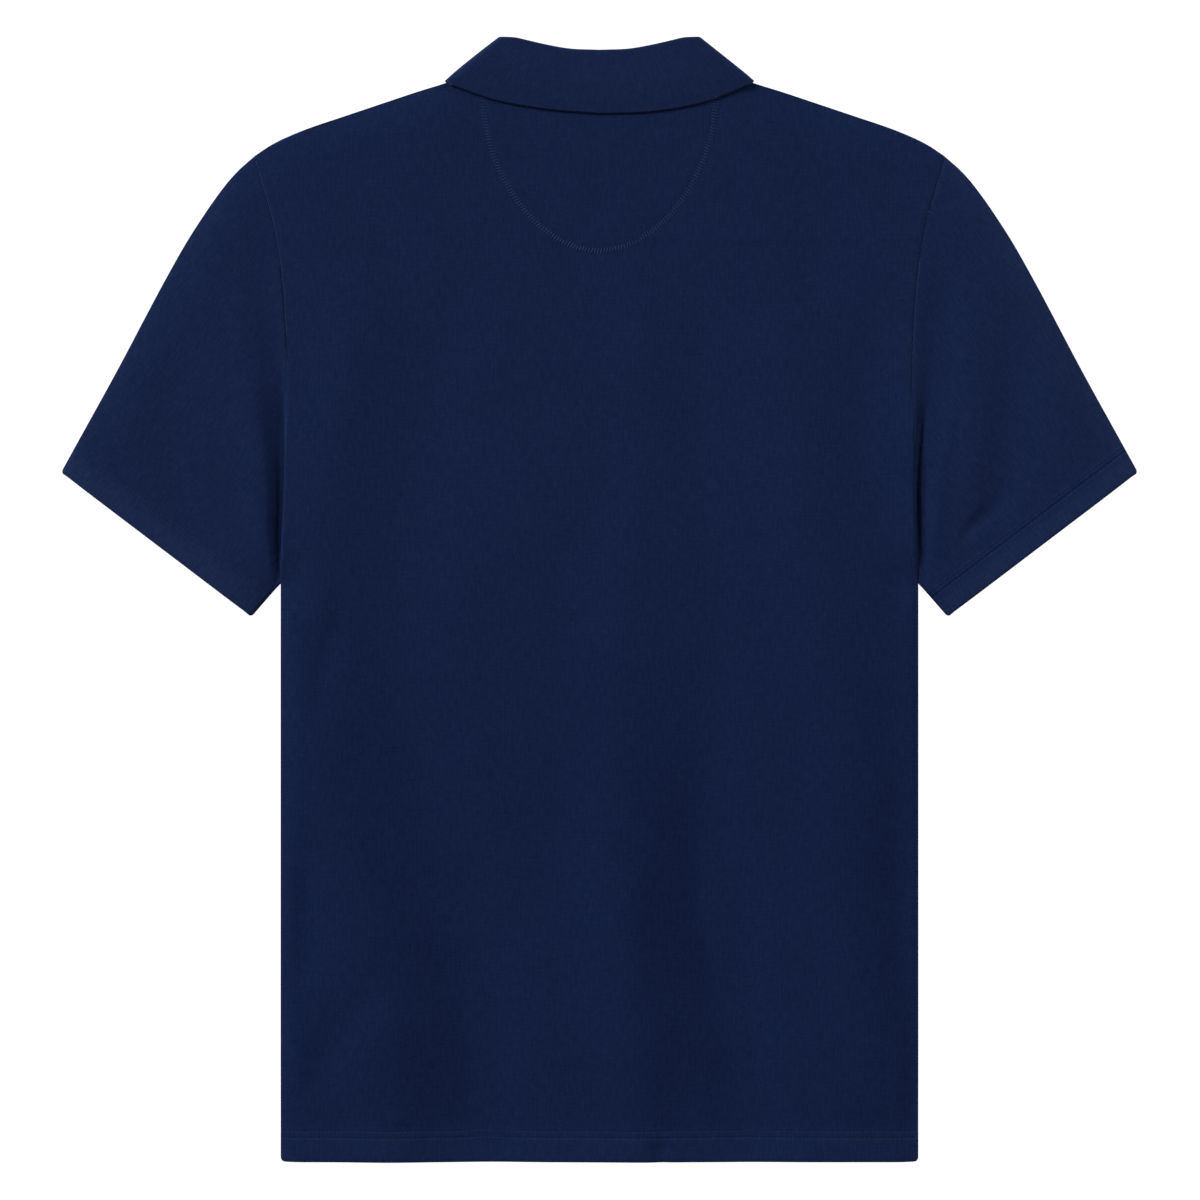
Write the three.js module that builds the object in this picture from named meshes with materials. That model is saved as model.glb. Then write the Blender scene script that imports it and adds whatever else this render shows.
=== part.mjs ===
import * as THREE from 'three';

// A short-sleeved polo shirt laid flat, face down, with its collar folded and its back up.
// +Y runs from the hem to the collar, +X to the wearer's right, and +Z up, out of the back.
// The origin is on the surface that it lies on, under the middle of its outline.
// Lengths are in millimetres. Each cloth piece is a thin wall on both sides of a middle surface.

const { smoothstep, lerp, degToRad } = THREE.MathUtils;

// Cloth
const CLOTH = 1.0;
const COLLAR_CLOTH = 1.6;
const SEAM_GAP = 0.3;
const LAYER_GAP = 1.8;

// Body
const HALF_CHEST = 220;
const HEM_Y = -388.2;
const UNDERARM = { x: HALF_CHEST, y: 11 };
const NECK_SIDE = { x: 86, y: 361.4 };
const SHOULDER_CLOSES = { x: 112, y: 353 };
const SHOULDER_POINT = { x: 238.4, y: 306.6 };

// Sleeve opening, from its corner under the arm to its corner on the fold
const CUFF_INNER = { x: 240.2, y: -12.2 };
const CUFF_OUTER = { x: 371.6, y: 87.6 };

// Placket and buttons
const PLACKET_HALF_WIDTH = 15;
const PLACKET_TOP_Y = 274.2;
const BUTTON_RADIUS = 5.5;
const BUTTON_THICKNESS = 2.0;
const BUTTON_EDGE = 0.4;
const BUTTON_HOLE_RADIUS = 0.8;
const BUTTON_HOLE_SPACING = 1.5;
const BUTTONS = [
  { name: 'button_upper', y: 252 },
  { name: 'button_lower', y: 196 },
];

// Half-moon patch inside the back of the neck: a half ellipse hung from the neck seam
const PATCH = { centreY: 345, halfWidth: 82, depth: 108 };

// How the layers lie. The folded collar and the buttons prop up the middle of the chest.
const FRONT_LIFT = 2.4;
const PATCH_ROOM = CLOTH + SEAM_GAP;
const LIFT_START_Y = 110;
const LIFT_FULL_Y = 170;
const LIFT_OUTER_X = 152;
const LIFT_INNER_X = 112;
const CLOSE_RUN = 14;

// Mesh steps
const NECK_STEPS = 5;
const SHOULDER_STEPS = 6;
const LOWER_ROWS = 8;
const ARMHOLE_ROWS = 12;
const PLACKET_BOTTOM_ROW = 6;
const PLACKET_ROWS = 6;
const PATCH_STEPS = 14;
const PATCH_ROWS = 4;
const BUTTON_CURVE_STEPS = 6;
const TANGENT_STEP = 0.01;
const SLEEVE_STEPS = 9;
const CREASE_ANGLES = [45, 0, -45];

// Half outlines on the +X side, each from its first row to its last
const ARMHOLE = [
  UNDERARM,
  { x: 217, y: 91 },
  { x: 215.5, y: 163 },
  { x: 220, y: 224 },
  SHOULDER_POINT,
];
const SHOULDER = [
  NECK_SIDE,
  { x: 130, y: 347.7 },
  { x: 175, y: 333.4 },
  { x: 205, y: 323.4 },
  { x: 225, y: 314.7 },
  SHOULDER_POINT,
];
const SLEEVE_FOLD = [
  SHOULDER_POINT,
  { x: 260.8, y: 282.4 },
  { x: 281.9, y: 251.4 },
  { x: 299.8, y: 220.2 },
  { x: 332.8, y: 158 },
  CUFF_OUTER,
];
const BACK_NECK = [
  { x: 0, y: 350.5 },
  { x: 30, y: 351.6 },
  { x: 60, y: 355.6 },
  NECK_SIDE,
];
const FRONT_NECK = [
  { x: PLACKET_HALF_WIDTH + SEAM_GAP, y: 275 },
  { x: 42, y: 284 },
  { x: 66, y: 307 },
  { x: 80, y: 336 },
  NECK_SIDE,
];

// Collar lines: the fold along the top and the free edge of the leaf
const BACK_FOLD = [
  { x: 0, y: 377.7 },
  { x: 22, y: 378.9 },
  { x: 44, y: 382.4 },
  { x: 63.5, y: 384.9 },
];
const BACK_EDGE = [
  { x: 0, y: 335.3 },
  { x: 36, y: 337.5 },
  { x: 72, y: 344 },
  { x: 104.4, y: 354.9 },
];
const FRONT_FOLD = [
  { x: 14, y: 306 },
  { x: 34, y: 322 },
  { x: 52, y: 350 },
  { x: 63.5, y: 384.9 },
];
const FRONT_EDGE = [
  { x: 78, y: 271 },
  { x: 92, y: 300 },
  { x: 100, y: 328 },
  { x: 104.4, y: 354.9 },
];
const COLLAR_END = {
  seam: { x: 2, y: 274.5 },
  fold: { x: 4, y: 302 },
  edge: { x: 72, y: 263 },
};
const CREASE_OUTWARD = new THREE.Vector3(0.626, 0.78, 0);

// Broad soft troughs in the back: middle, half length, half width, depth and lean from +Y
const TROUGHS = [
  { x: -120, y: -265, length: 90, width: 26, depth: 0.7, lean: 3 },
  { x: 70, y: -200, length: 105, width: 30, depth: 0.8, lean: -5 },
  { x: 172, y: 100, length: 95, width: 24, depth: 0.6, lean: -14 },
  { x: 188, y: -225, length: 70, width: 20, depth: 0.5, lean: 4 },
  { x: -165, y: 140, length: 70, width: 24, depth: 0.6, lean: 8 },
  { x: -60, y: -60, length: 85, width: 32, depth: 0.4, lean: 6 },
];

function curveThrough(rows) {
  const curve = new THREE.CatmullRomCurve3(rows.map(({ x, y }) => new THREE.Vector3(x, y, 0)));
  return (t) => curve.getPointAt(t);
}

const armholeAt = curveThrough(ARMHOLE);
const shoulderAt = curveThrough(SHOULDER);
const sleeveFoldAt = curveThrough(SLEEVE_FOLD);

// Steps that crowd towards the end, or towards both ends
const easedOut = (step, steps) => Math.sin(step / steps * Math.PI / 2);
const easedBoth = (step, steps) => (1 - Math.cos(step / steps * Math.PI)) / 2;

function range(count) {
  return Array.from({ length: count }, (_, index) => index);
}

function distanceToPath(rows, x, y) {
  const distances = rows.slice(1).map((end, index) => {
    const start = rows[index];
    const alongX = end.x - start.x;
    const alongY = end.y - start.y;
    const along = ((x - start.x) * alongX + (y - start.y) * alongY) / (alongX ** 2 + alongY ** 2);
    const t = THREE.MathUtils.clamp(along, 0, 1);
    return Math.hypot(x - start.x - t * alongX, y - start.y - t * alongY);
  });
  return Math.min(...distances);
}

// Edges of the flat garment where its upper and lower layers meet. Beside the neck the shoulder
// seam stays open as far as the leaf of the collar covers it.
const CLOSED_EDGES = [
  [{ x: HALF_CHEST, y: HEM_Y }, UNDERARM],
  [UNDERARM, CUFF_INNER],
  [SHOULDER_CLOSES, ...SHOULDER.slice(1)],
  SLEEVE_FOLD,
];

function lift(x, y) {
  const along = smoothstep(y, LIFT_START_Y, LIFT_FULL_Y);
  const across = 1 - smoothstep(Math.abs(x), LIFT_INNER_X, LIFT_OUTER_X);
  return along * across;
}

function troughDepth(x, y) {
  return TROUGHS.reduce((total, trough) => {
    const lean = degToRad(trough.lean);
    const across = (x - trough.x) * Math.cos(lean) + (y - trough.y) * Math.sin(lean);
    const along = (y - trough.y) * Math.cos(lean) - (x - trough.x) * Math.sin(lean);
    return total + trough.depth * Math.exp(-((across / trough.width) ** 2) - (along / trough.length) ** 2);
  }, 0);
}

// Height of the middle of the lower layer, and of the upper one, at a place in plan
function lowerZ(x, y) {
  return CLOTH / 2 + FRONT_LIFT * lift(x, y);
}

function upperZ(x, y) {
  const edgeDistance = Math.min(...CLOSED_EDGES.map((rows) => distanceToPath(rows, Math.abs(x), y)));
  const open = smoothstep(edgeDistance, 0, CLOSE_RUN);
  const raised = lift(x, y);
  const room = LAYER_GAP - SEAM_GAP + PATCH_ROOM * raised - troughDepth(x, y) * (1 - raised);
  return lowerZ(x, y) + CLOTH + SEAM_GAP + room * open;
}

// A closed wall on both sides of a middle surface of four-sided cells. Open borders get an edge face.
function clothWall(points, cells, thickness) {
  const normals = points.map(() => new THREE.Vector3());
  for (const cell of cells) {
    const [a, b, c, d] = cell.map((index) => points[index]);
    const normal = c.clone().sub(a).cross(d.clone().sub(b)).normalize();
    cell.forEach((index) => normals[index].add(normal));
  }
  const positions = [];
  for (const side of [0.5, -0.5]) {
    points.forEach((point, index) => {
      const moved = normals[index].clone().normalize().multiplyScalar(side * thickness).add(point);
      positions.push(moved.x, moved.y, moved.z);
    });
  }
  const under = points.length;
  const faces = [];
  const edges = new Set();
  for (const cell of cells) {
    const [a, b, c, d] = cell;
    faces.push(a, b, c, a, c, d);
    faces.push(under + a, under + c, under + b, under + a, under + d, under + c);
    cell.forEach((start, corner) => edges.add(`${start},${cell[(corner + 1) % 4]}`));
  }
  for (const edge of edges) {
    const [start, end] = edge.split(',').map(Number);
    if (!edges.has(`${end},${start}`)) {
      faces.push(start, under + start, under + end, start, under + end, end);
    }
  }
  const geometry = new THREE.BufferGeometry();
  geometry.setAttribute('position', new THREE.Float32BufferAttribute(positions, 3));
  geometry.setIndex(faces);
  return geometry;
}

// A wall over columns of points, all of one length. A ring joins its last column to its first.
function wallOverColumns(columns, thickness, { ring = false, keep = () => true } = {}) {
  const rows = columns[0].length;
  const strips = ring ? columns.length : columns.length - 1;
  const cells = [];
  for (const column of range(strips)) {
    for (const row of range(rows - 1).filter((index) => keep(column, index))) {
      const here = column * rows + row;
      const next = (column + 1) % columns.length * rows + row;
      cells.push([here, next, next + 1, here + 1]);
    }
  }
  return clothWall(columns.flat(), cells, thickness);
}

const mirrored = (point) => new THREE.Vector3(-point.x, point.y, point.z);

// The +X half of a body panel: columns out from innerX, each from the hem to the neck or shoulder
function halfPanel(innerX, neckRows, heightAt) {
  const neckAt = curveThrough(neckRows);
  const top = [
    ...range(NECK_STEPS).map((step) => neckAt(step / NECK_STEPS)),
    ...range(SHOULDER_STEPS + 1).map((step) => shoulderAt(easedOut(step, SHOULDER_STEPS))),
  ];
  return top.map((topPoint) => {
    const share = (topPoint.x - innerX) / (SHOULDER_POINT.x - innerX);
    const sideX = lerp(innerX, HALF_CHEST, share);
    const lower = range(LOWER_ROWS).map((row) => [sideX, lerp(HEM_Y, UNDERARM.y, row / LOWER_ROWS)]);
    const upper = range(ARMHOLE_ROWS + 1).map((row) => {
      const t = easedBoth(row, ARMHOLE_ROWS);
      const bend = armholeAt(t);
      const x = lerp(sideX, topPoint.x, t) + share * (bend.x - lerp(UNDERARM.x, SHOULDER_POINT.x, t));
      const y = lerp(UNDERARM.y, topPoint.y, t) + share * (bend.y - lerp(UNDERARM.y, SHOULDER_POINT.y, t));
      return [x, y];
    });
    return [...lower, ...upper].map(([x, y]) => new THREE.Vector3(x, y, heightAt(x, y)));
  });
}

function backPanel() {
  const half = halfPanel(0, BACK_NECK, upperZ);
  const otherHalf = half.slice(1).reverse().map((column) => column.map(mirrored));
  const troughed = [...otherHalf, ...half].map((column) => column.map(({ x, y }) => (
    new THREE.Vector3(x, y, upperZ(x, y))
  )));
  return wallOverColumns(troughed, CLOTH);
}

// The front is slit down its middle for the placket
function frontPanel() {
  const slitX = PLACKET_HALF_WIDTH + SEAM_GAP;
  const half = halfPanel(slitX, FRONT_NECK, lowerZ);
  const columns = [...half.slice().reverse().map((column) => column.map(mirrored)), ...half];
  const middle = half.length - 1;
  const keep = (column, row) => column !== middle || row < LOWER_ROWS + PLACKET_BOTTOM_ROW;
  return wallOverColumns(columns, CLOTH, { keep });
}

// A sleeve is one piece, folded along its outer line and joined under the arm into a flat tube
function sleeve(side) {
  const foldRadius = (CLOTH + SEAM_GAP) / 2;
  const turnAngles = [90, 45, 0, -45, -90];
  const flatRows = range(ARMHOLE_ROWS - 1).map((row) => easedBoth(row + 1, ARMHOLE_ROWS));
  const stations = [
    ...turnAngles.map((angle) => ({ t: 1, angle })),
    ...flatRows.slice().reverse().map((t) => ({ t, layer: lowerZ })),
    ...turnAngles.slice().reverse().map((angle) => ({ t: 0, angle })),
    ...flatRows.map((t) => ({ t, layer: upperZ })),
  ];
  const columns = stations.map(({ t, angle, layer }) => range(SLEEVE_STEPS + 1).map((step) => {
    const place = sleevePlace(step / SLEEVE_STEPS, t);
    if (layer) {
      return new THREE.Vector3(side * place.x, place.y, layer(place.x, place.y));
    }
    const across = sleevePlace(step / SLEEVE_STEPS, 1).sub(sleevePlace(step / SLEEVE_STEPS, 0)).normalize();
    const turn = degToRad(angle);
    const inset = CLOTH / 2 + foldRadius * (1 - Math.cos(turn));
    const flat = place.addScaledVector(across, t === 1 ? -inset : inset);
    const clearOfSideSeam = t === 0 ? CLOTH / 2 * (1 - step / SLEEVE_STEPS) : 0;
    flat.x += clearOfSideSeam;
    const middleZ = CLOTH + SEAM_GAP / 2;
    return new THREE.Vector3(side * flat.x, flat.y, middleZ + foldRadius * Math.sin(turn));
  }));
  return wallOverColumns(side > 0 ? columns.reverse() : columns, CLOTH, { ring: true });
}

// A place on the flat sleeve: along from armhole to cuff, across from the underarm seam to the fold
function sleevePlace(along, across) {
  const start = armholeAt(across);
  const before = armholeAt(Math.max(across - TANGENT_STEP, 0));
  const tangent = armholeAt(Math.min(across + TANGENT_STEP, 1)).sub(before).normalize();
  start.x += SEAM_GAP * tangent.y;
  start.y -= SEAM_GAP * tangent.x;
  const end = new THREE.Vector3(
    lerp(CUFF_INNER.x, CUFF_OUTER.x, across),
    lerp(CUFF_INNER.y, CUFF_OUTER.y, across),
    0,
  );
  const fold = sleeveFoldAt(along);
  const bulgeX = fold.x - lerp(SHOULDER_POINT.x, CUFF_OUTER.x, along);
  const bulgeY = fold.y - lerp(SHOULDER_POINT.y, CUFF_OUTER.y, along);
  const place = start.lerp(end, along);
  place.x += across * bulgeX;
  place.y += across * bulgeY;
  return place;
}

// The collar is one piece: a stand up from the neck seam, a fold, and a leaf down over the outside.
// Layer heights at the back and the front, and their middle for the turn at the side of the neck.
const STAND = {
  back: CLOTH / 2 + FRONT_LIFT + CLOTH + LAYER_GAP + PATCH_ROOM,
  front: CLOTH / 2 + FRONT_LIFT,
};
const LEAF = {
  back: STAND.back + COLLAR_CLOTH + SEAM_GAP,
  front: COLLAR_CLOTH / 2,
};

function turnedAbout(layer, angle) {
  const radius = (layer.back - layer.front) / 2;
  const turn = degToRad(angle);
  const bulge = CREASE_OUTWARD.clone().multiplyScalar(radius * Math.cos(turn));
  return bulge.setZ((layer.back + layer.front) / 2 + radius * Math.sin(turn));
}

// One section across the collar, from the neck seam over the fold to the edge of the leaf
function collarSection({ seam, fold, edge, angle }) {
  const turn = degToRad(angle);
  const outward = CREASE_OUTWARD.clone().multiplyScalar(Math.cos(turn)).setZ(Math.sin(turn));
  const seamPoint = turnedAbout(STAND, angle).add(new THREE.Vector3(seam.x, seam.y, 0));
  const edgePoint = turnedAbout(LEAF, angle).add(new THREE.Vector3(edge.x, edge.y, 0));
  const middleLayer = {
    back: (STAND.back + LEAF.back) / 2,
    front: (STAND.front + LEAF.front) / 2,
  };
  const foldPoint = turnedAbout(middleLayer, angle).add(new THREE.Vector3(fold.x, fold.y, 0));
  const foldRadius = Math.abs(angle > 0 ? LEAF.back - STAND.back : LEAF.front - STAND.front) / 2;
  const downStand = new THREE.Vector3(seam.x - fold.x, seam.y - fold.y, 0).normalize();
  const downLeaf = new THREE.Vector3(edge.x - fold.x, edge.y - fold.y, 0).normalize();
  const overFold = (foldAngle) => {
    const bend = degToRad(foldAngle);
    return foldPoint.clone()
      .addScaledVector(foldAngle < 0 ? downStand : downLeaf, foldRadius * (1 - Math.cos(bend)))
      .addScaledVector(outward, foldRadius * Math.sin(bend));
  };
  const standBottom = seamPoint.addScaledVector(downStand, -SEAM_GAP);
  const standTop = overFold(-90);
  const leafTop = overFold(90);
  return [
    standBottom,
    standBottom.clone().lerp(standTop, 1 / 2),
    standTop,
    overFold(-45),
    overFold(0),
    overFold(45),
    leafTop,
    leafTop.clone().lerp(edgePoint, 1 / 3),
    leafTop.clone().lerp(edgePoint, 2 / 3),
    edgePoint,
  ];
}

function collarLine(lines, angle) {
  const [seamAt, foldAt, edgeAt] = lines.map(curveThrough);
  return range(NECK_STEPS + 1).map((step) => {
    const t = step / NECK_STEPS;
    return { seam: seamAt(t), fold: foldAt(t), edge: edgeAt(t), angle };
  });
}

function collar() {
  const back = collarLine([BACK_NECK, BACK_FOLD, BACK_EDGE], 90);
  const front = collarLine([FRONT_NECK, FRONT_FOLD, FRONT_EDGE], -90).reverse();
  const side = CREASE_ANGLES.map((angle) => ({ ...back[NECK_STEPS], angle }));
  const half = [...back, ...side, ...front, { ...COLLAR_END, angle: -90 }].map(collarSection);
  const otherHalf = half.slice(1).reverse().map((section) => section.map(mirrored));
  return wallOverColumns([...otherHalf, ...half], COLLAR_CLOTH);
}

// A strip of the placket, in the slit of the front or on top of it by the given rise
function placketStrip(rise) {
  const slitEdge = halfPanel(PLACKET_HALF_WIDTH + SEAM_GAP, FRONT_NECK, lowerZ)[0];
  const bottomY = slitEdge[LOWER_ROWS + PLACKET_BOTTOM_ROW].y;
  const columns = [-1, 0, 1].map((side) => range(PLACKET_ROWS + 1).map((row) => {
    const x = side * PLACKET_HALF_WIDTH;
    const y = lerp(bottomY + SEAM_GAP, PLACKET_TOP_Y, row / PLACKET_ROWS);
    return new THREE.Vector3(x, y, lowerZ(x, y) + rise);
  }));
  return wallOverColumns(columns, CLOTH);
}

function neckPatch() {
  const neckAt = curveThrough(BACK_NECK);
  const columns = range(PATCH_STEPS + 1).map((step) => {
    const angle = Math.PI * (1 - step / PATCH_STEPS);
    const rimX = PATCH.halfWidth * Math.cos(angle);
    const rimY = PATCH.centreY - PATCH.depth * Math.sin(angle);
    const neck = neckAt(Math.abs(rimX) / NECK_SIDE.x);
    return range(PATCH_ROWS + 1).map((row) => {
      const y = lerp(rimY, neck.y - SEAM_GAP, row / PATCH_ROWS);
      return new THREE.Vector3(rimX, y, upperZ(rimX, y) - CLOTH - SEAM_GAP);
    });
  });
  return wallOverColumns(columns, CLOTH);
}

function button(y) {
  const disc = new THREE.Shape().absarc(0, 0, BUTTON_RADIUS - BUTTON_EDGE, 0, 2 * Math.PI);
  for (const [x, holeY] of [[1, 1], [-1, 1], [-1, -1], [1, -1]]) {
    const hole = new THREE.Path();
    hole.absarc(x * BUTTON_HOLE_SPACING, holeY * BUTTON_HOLE_SPACING, BUTTON_HOLE_RADIUS, 0, 2 * Math.PI, true);
    disc.holes.push(hole);
  }
  const geometry = new THREE.ExtrudeGeometry(disc, {
    depth: BUTTON_THICKNESS - 2 * BUTTON_EDGE,
    bevelThickness: BUTTON_EDGE,
    bevelSize: BUTTON_EDGE,
    bevelSegments: 1,
    curveSegments: BUTTON_CURVE_STEPS,
  });
  const undersideZ = FRONT_LIFT - SEAM_GAP - BUTTON_THICKNESS;
  geometry.translate(0, y, undersideZ + BUTTON_EDGE);
  return geometry;
}

const NAVY = 0x15203e;
const CLOTH_ROUGHNESS = 0.95;
const BUTTON_ROUGHNESS = 0.4;
const group = new THREE.Group();

function addPiece(name, geometry, roughness = CLOTH_ROUGHNESS) {
  const material = new THREE.MeshStandardMaterial({ color: NAVY, roughness, metalness: 0 });
  const mesh = new THREE.Mesh(geometry, material);
  mesh.name = name;
  group.add(mesh);
}

addPiece('back_panel', backPanel());
addPiece('front_panel', frontPanel());
addPiece('sleeve_left', sleeve(-1));
addPiece('sleeve_right', sleeve(1));
addPiece('collar', collar());
addPiece('neck_patch', neckPatch());
addPiece('placket_over', placketStrip(0));
addPiece('placket_under', placketStrip(CLOTH + SEAM_GAP));
for (const { name, y } of BUTTONS) {
  addPiece(name, button(y), BUTTON_ROUGHNESS);
}

export default group;
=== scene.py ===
import math

import bpy
import numpy as np
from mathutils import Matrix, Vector


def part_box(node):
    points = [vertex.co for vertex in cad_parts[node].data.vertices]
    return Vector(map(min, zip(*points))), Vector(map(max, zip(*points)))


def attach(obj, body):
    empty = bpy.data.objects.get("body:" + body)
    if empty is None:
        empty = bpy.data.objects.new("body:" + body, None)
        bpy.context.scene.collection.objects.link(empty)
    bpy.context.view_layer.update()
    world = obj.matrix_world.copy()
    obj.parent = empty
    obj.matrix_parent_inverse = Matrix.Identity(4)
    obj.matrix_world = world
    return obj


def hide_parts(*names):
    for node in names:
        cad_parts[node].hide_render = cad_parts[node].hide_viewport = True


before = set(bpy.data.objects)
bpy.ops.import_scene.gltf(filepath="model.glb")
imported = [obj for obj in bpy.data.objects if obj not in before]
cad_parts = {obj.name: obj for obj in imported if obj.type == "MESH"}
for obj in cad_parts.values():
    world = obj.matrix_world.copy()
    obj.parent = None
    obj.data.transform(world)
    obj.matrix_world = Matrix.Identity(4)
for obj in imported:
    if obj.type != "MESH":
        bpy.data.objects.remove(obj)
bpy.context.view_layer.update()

# A navy polo shirt lying face down on a pale table, with its back up and its collar folded.
# Shapes are worked out in millimetres, with +Y from the hem to the collar, and made in metres.

MM = 0.001


def node_size(name):
    low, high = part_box(name)
    return np.array(low) / MM, np.array(high) / MM


back_low = node_size("back_panel")[0]
patch_low, patch_high = node_size("neck_patch")
placket_low, placket_high = node_size("placket_over")

# Cloth
CLOTH = 1.0
COLLAR_CLOTH = 1.6
SEAM_GAP = 0.3
SEAM_OVERLAP = 0.12
LAYER_GAP = 1.8
HEM_PLY = 0.7

# Body
HALF_CHEST = 220.0
HEM_Y = back_low[1]
UNDERARM = (HALF_CHEST, 11.0)
NECK_SIDE = (86.0, 361.4)
SHOULDER_CLOSES = (112.0, 353.9)
SHOULDER_POINT = (238.4, 305.5)
HEM_CORNER = 3.5

# Sleeve opening
CUFF_INNER = (240.2, -12.2)
CUFF_OUTER = (371.6, 87.6)
CUFF_BAND = 24.0
CUFF_CORNER = 2.2

# Hems: distances of the two rows of stitches from the edge
BODY_HEM_ROWS = (16.6, 21.2)
SLEEVE_HEM_ROWS = (16.8, 19.6)

# Half-moon patch: a half ellipse hung from the neck seam
PATCH_CENTRE_Y = 345.0
PATCH_HALF_WIDTH = 80.0
PATCH_DEPTH = 105.5
MOON_ROUNDNESS = 1.86

# How the layers lie
FRONT_LIFT = 2.4
PATCH_ROOM = CLOTH + SEAM_GAP
LIFT_Y = (110.0, 170.0)
LIFT_X = (112.0, 152.0)
FULLNESS = 2.6
FULLNESS_AT_HEM = 0.4
FULLNESS_RUN = (10, 90)
CALM_WHERE_RAISED = 0.8
HEM_FLARE = 1.0

# Distances from a closed edge over which each of these comes in
RIPPLE_RUN = 10
CREASE_RUN = 16
HEM_RUN = 3
BODY_FLARE_RUN = 14
SLEEVE_FLARE_RUN = 30

# Hems: fullness of the band, how round its edge is, and the dip along each row of stitches
HEM_PUFF = 0.4
HEM_ROLL = 2.2
HEM_BAND_MARGINS = (1.5, 2.0)
STITCH_DIP = 0.42
STITCH_DIP_WIDTH = 0.75

# Half-moon: the relief of the patch and of its stitches through the back
MOON_PUFF = 0.25
MOON_PUFF_RUN = (-2, 1)
MOON_DIP = 0.28
MOON_DIP_WIDTH = 1.8

# Half outlines on the +X side: x, y
ARMHOLE = [UNDERARM, (217, 91), (215.5, 163), (219.2, 224), (224.4, 256), SHOULDER_POINT]
SHOULDER = [NECK_SIDE, (130, 348.4), (175, 333.5), (205, 323.2), (225, 314.2), SHOULDER_POINT]
SLEEVE_FOLD = [
    SHOULDER_POINT, (250.3, 294.8), (260.8, 282.4), (281.9, 251.4), (299.8, 220.2), (332.8, 158), CUFF_OUTER,
]
BACK_NECK = [(0, 350.5), (30, 351.6), (60, 355.6), NECK_SIDE]
FRONT_NECK = [(15.3, 275), (42, 284), (66, 307), (80, 336), NECK_SIDE]
BACK_FOLD = [(0, 377.3), (20, 378.1), (36, 380.8), (50, 384.0), (58, 385.8), (64.5, 386.2)]
BACK_EDGE = [(0, 333.7), (36, 335.9), (72, 342.3), (103.2, 353.9)]
FRONT_FOLD = [(14, 306), (34, 322), (52, 350), (64.5, 386.2)]
FRONT_EDGE = [(78, 271), (92, 300), (98.9, 328), (103.2, 353.9)]
COLLAR_END = {"seam": (2, 274.5), "fold": (4, 302), "edge": (72, 263)}
CREASE_OUTWARD = np.array([0.617, 0.787, 0.0])
FOLD_SLANT = (1.09, -0.06)
EDGE_SLANT = (0.85, 0.75)
LEAF_SWAY = 0.9
LEAF_EDGE_CLOTH = 1.0


# ---------------------------------------------------------------- lines and distances

def curve_through(rows, steps=48):
    """A smooth line through its rows, as a function of the share of its length."""
    knots = np.array(rows, float)
    ends = np.vstack([2 * knots[0] - knots[1], knots, 2 * knots[-1] - knots[-2]])
    pieces = []
    for p0, p1, p2, p3 in zip(ends, ends[1:], ends[2:], ends[3:]):
        t0 = 0.0
        t1 = t0 + math.sqrt(np.linalg.norm(p1 - p0))
        t2 = t1 + math.sqrt(np.linalg.norm(p2 - p1))
        t3 = t2 + math.sqrt(np.linalg.norm(p3 - p2))
        t = np.linspace(t1, t2, steps, endpoint=False)[:, None]
        a1 = (t1 - t) / (t1 - t0) * p0 + (t - t0) / (t1 - t0) * p1
        a2 = (t2 - t) / (t2 - t1) * p1 + (t - t1) / (t2 - t1) * p2
        a3 = (t3 - t) / (t3 - t2) * p2 + (t - t2) / (t3 - t2) * p3
        b1 = (t2 - t) / (t2 - t0) * a1 + (t - t0) / (t2 - t0) * a2
        b2 = (t3 - t) / (t3 - t1) * a2 + (t - t1) / (t3 - t1) * a3
        pieces.append((t2 - t) / (t2 - t1) * b1 + (t - t1) / (t2 - t1) * b2)
    line = np.vstack([*pieces, knots[-1:]])
    lengths = np.concatenate([[0], np.cumsum(np.linalg.norm(np.diff(line, axis=0), axis=1))])
    total = lengths[-1]

    def at(share):
        place = np.asarray(share) * total
        return np.stack([np.interp(place, lengths, line[:, axis]) for axis in range(line.shape[1])], -1)

    at.length = total
    return at


armhole_at = curve_through(ARMHOLE)
shoulder_at = curve_through(SHOULDER)


def smooth(value, start, end):
    t = np.clip((value - start) / (end - start), 0, 1)
    return t * t * (3 - 2 * t)


def near_path(rows, x, y):
    """Distance to a path of straight pieces, and each further column of its rows at the nearest place."""
    rows = np.array(rows, float)
    best = np.full(np.shape(x), np.inf)
    values = np.zeros(np.shape(x) + (rows.shape[1] - 2,))
    for start, end in zip(rows, rows[1:]):
        along = end[:2] - start[:2]
        t = ((x - start[0]) * along[0] + (y - start[1]) * along[1]) / (along @ along)
        t = np.clip(t, 0, 1)
        away = np.hypot(x - start[0] - t * along[0], y - start[1] - t * along[1])
        closer = away < best
        best = np.where(closer, away, best)
        values = np.where(closer[..., None], start[2:] + t[..., None] * (end[2:] - start[2:]), values)
    return best, values


# ---------------------------------------------------------------- how the cloth lies

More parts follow.
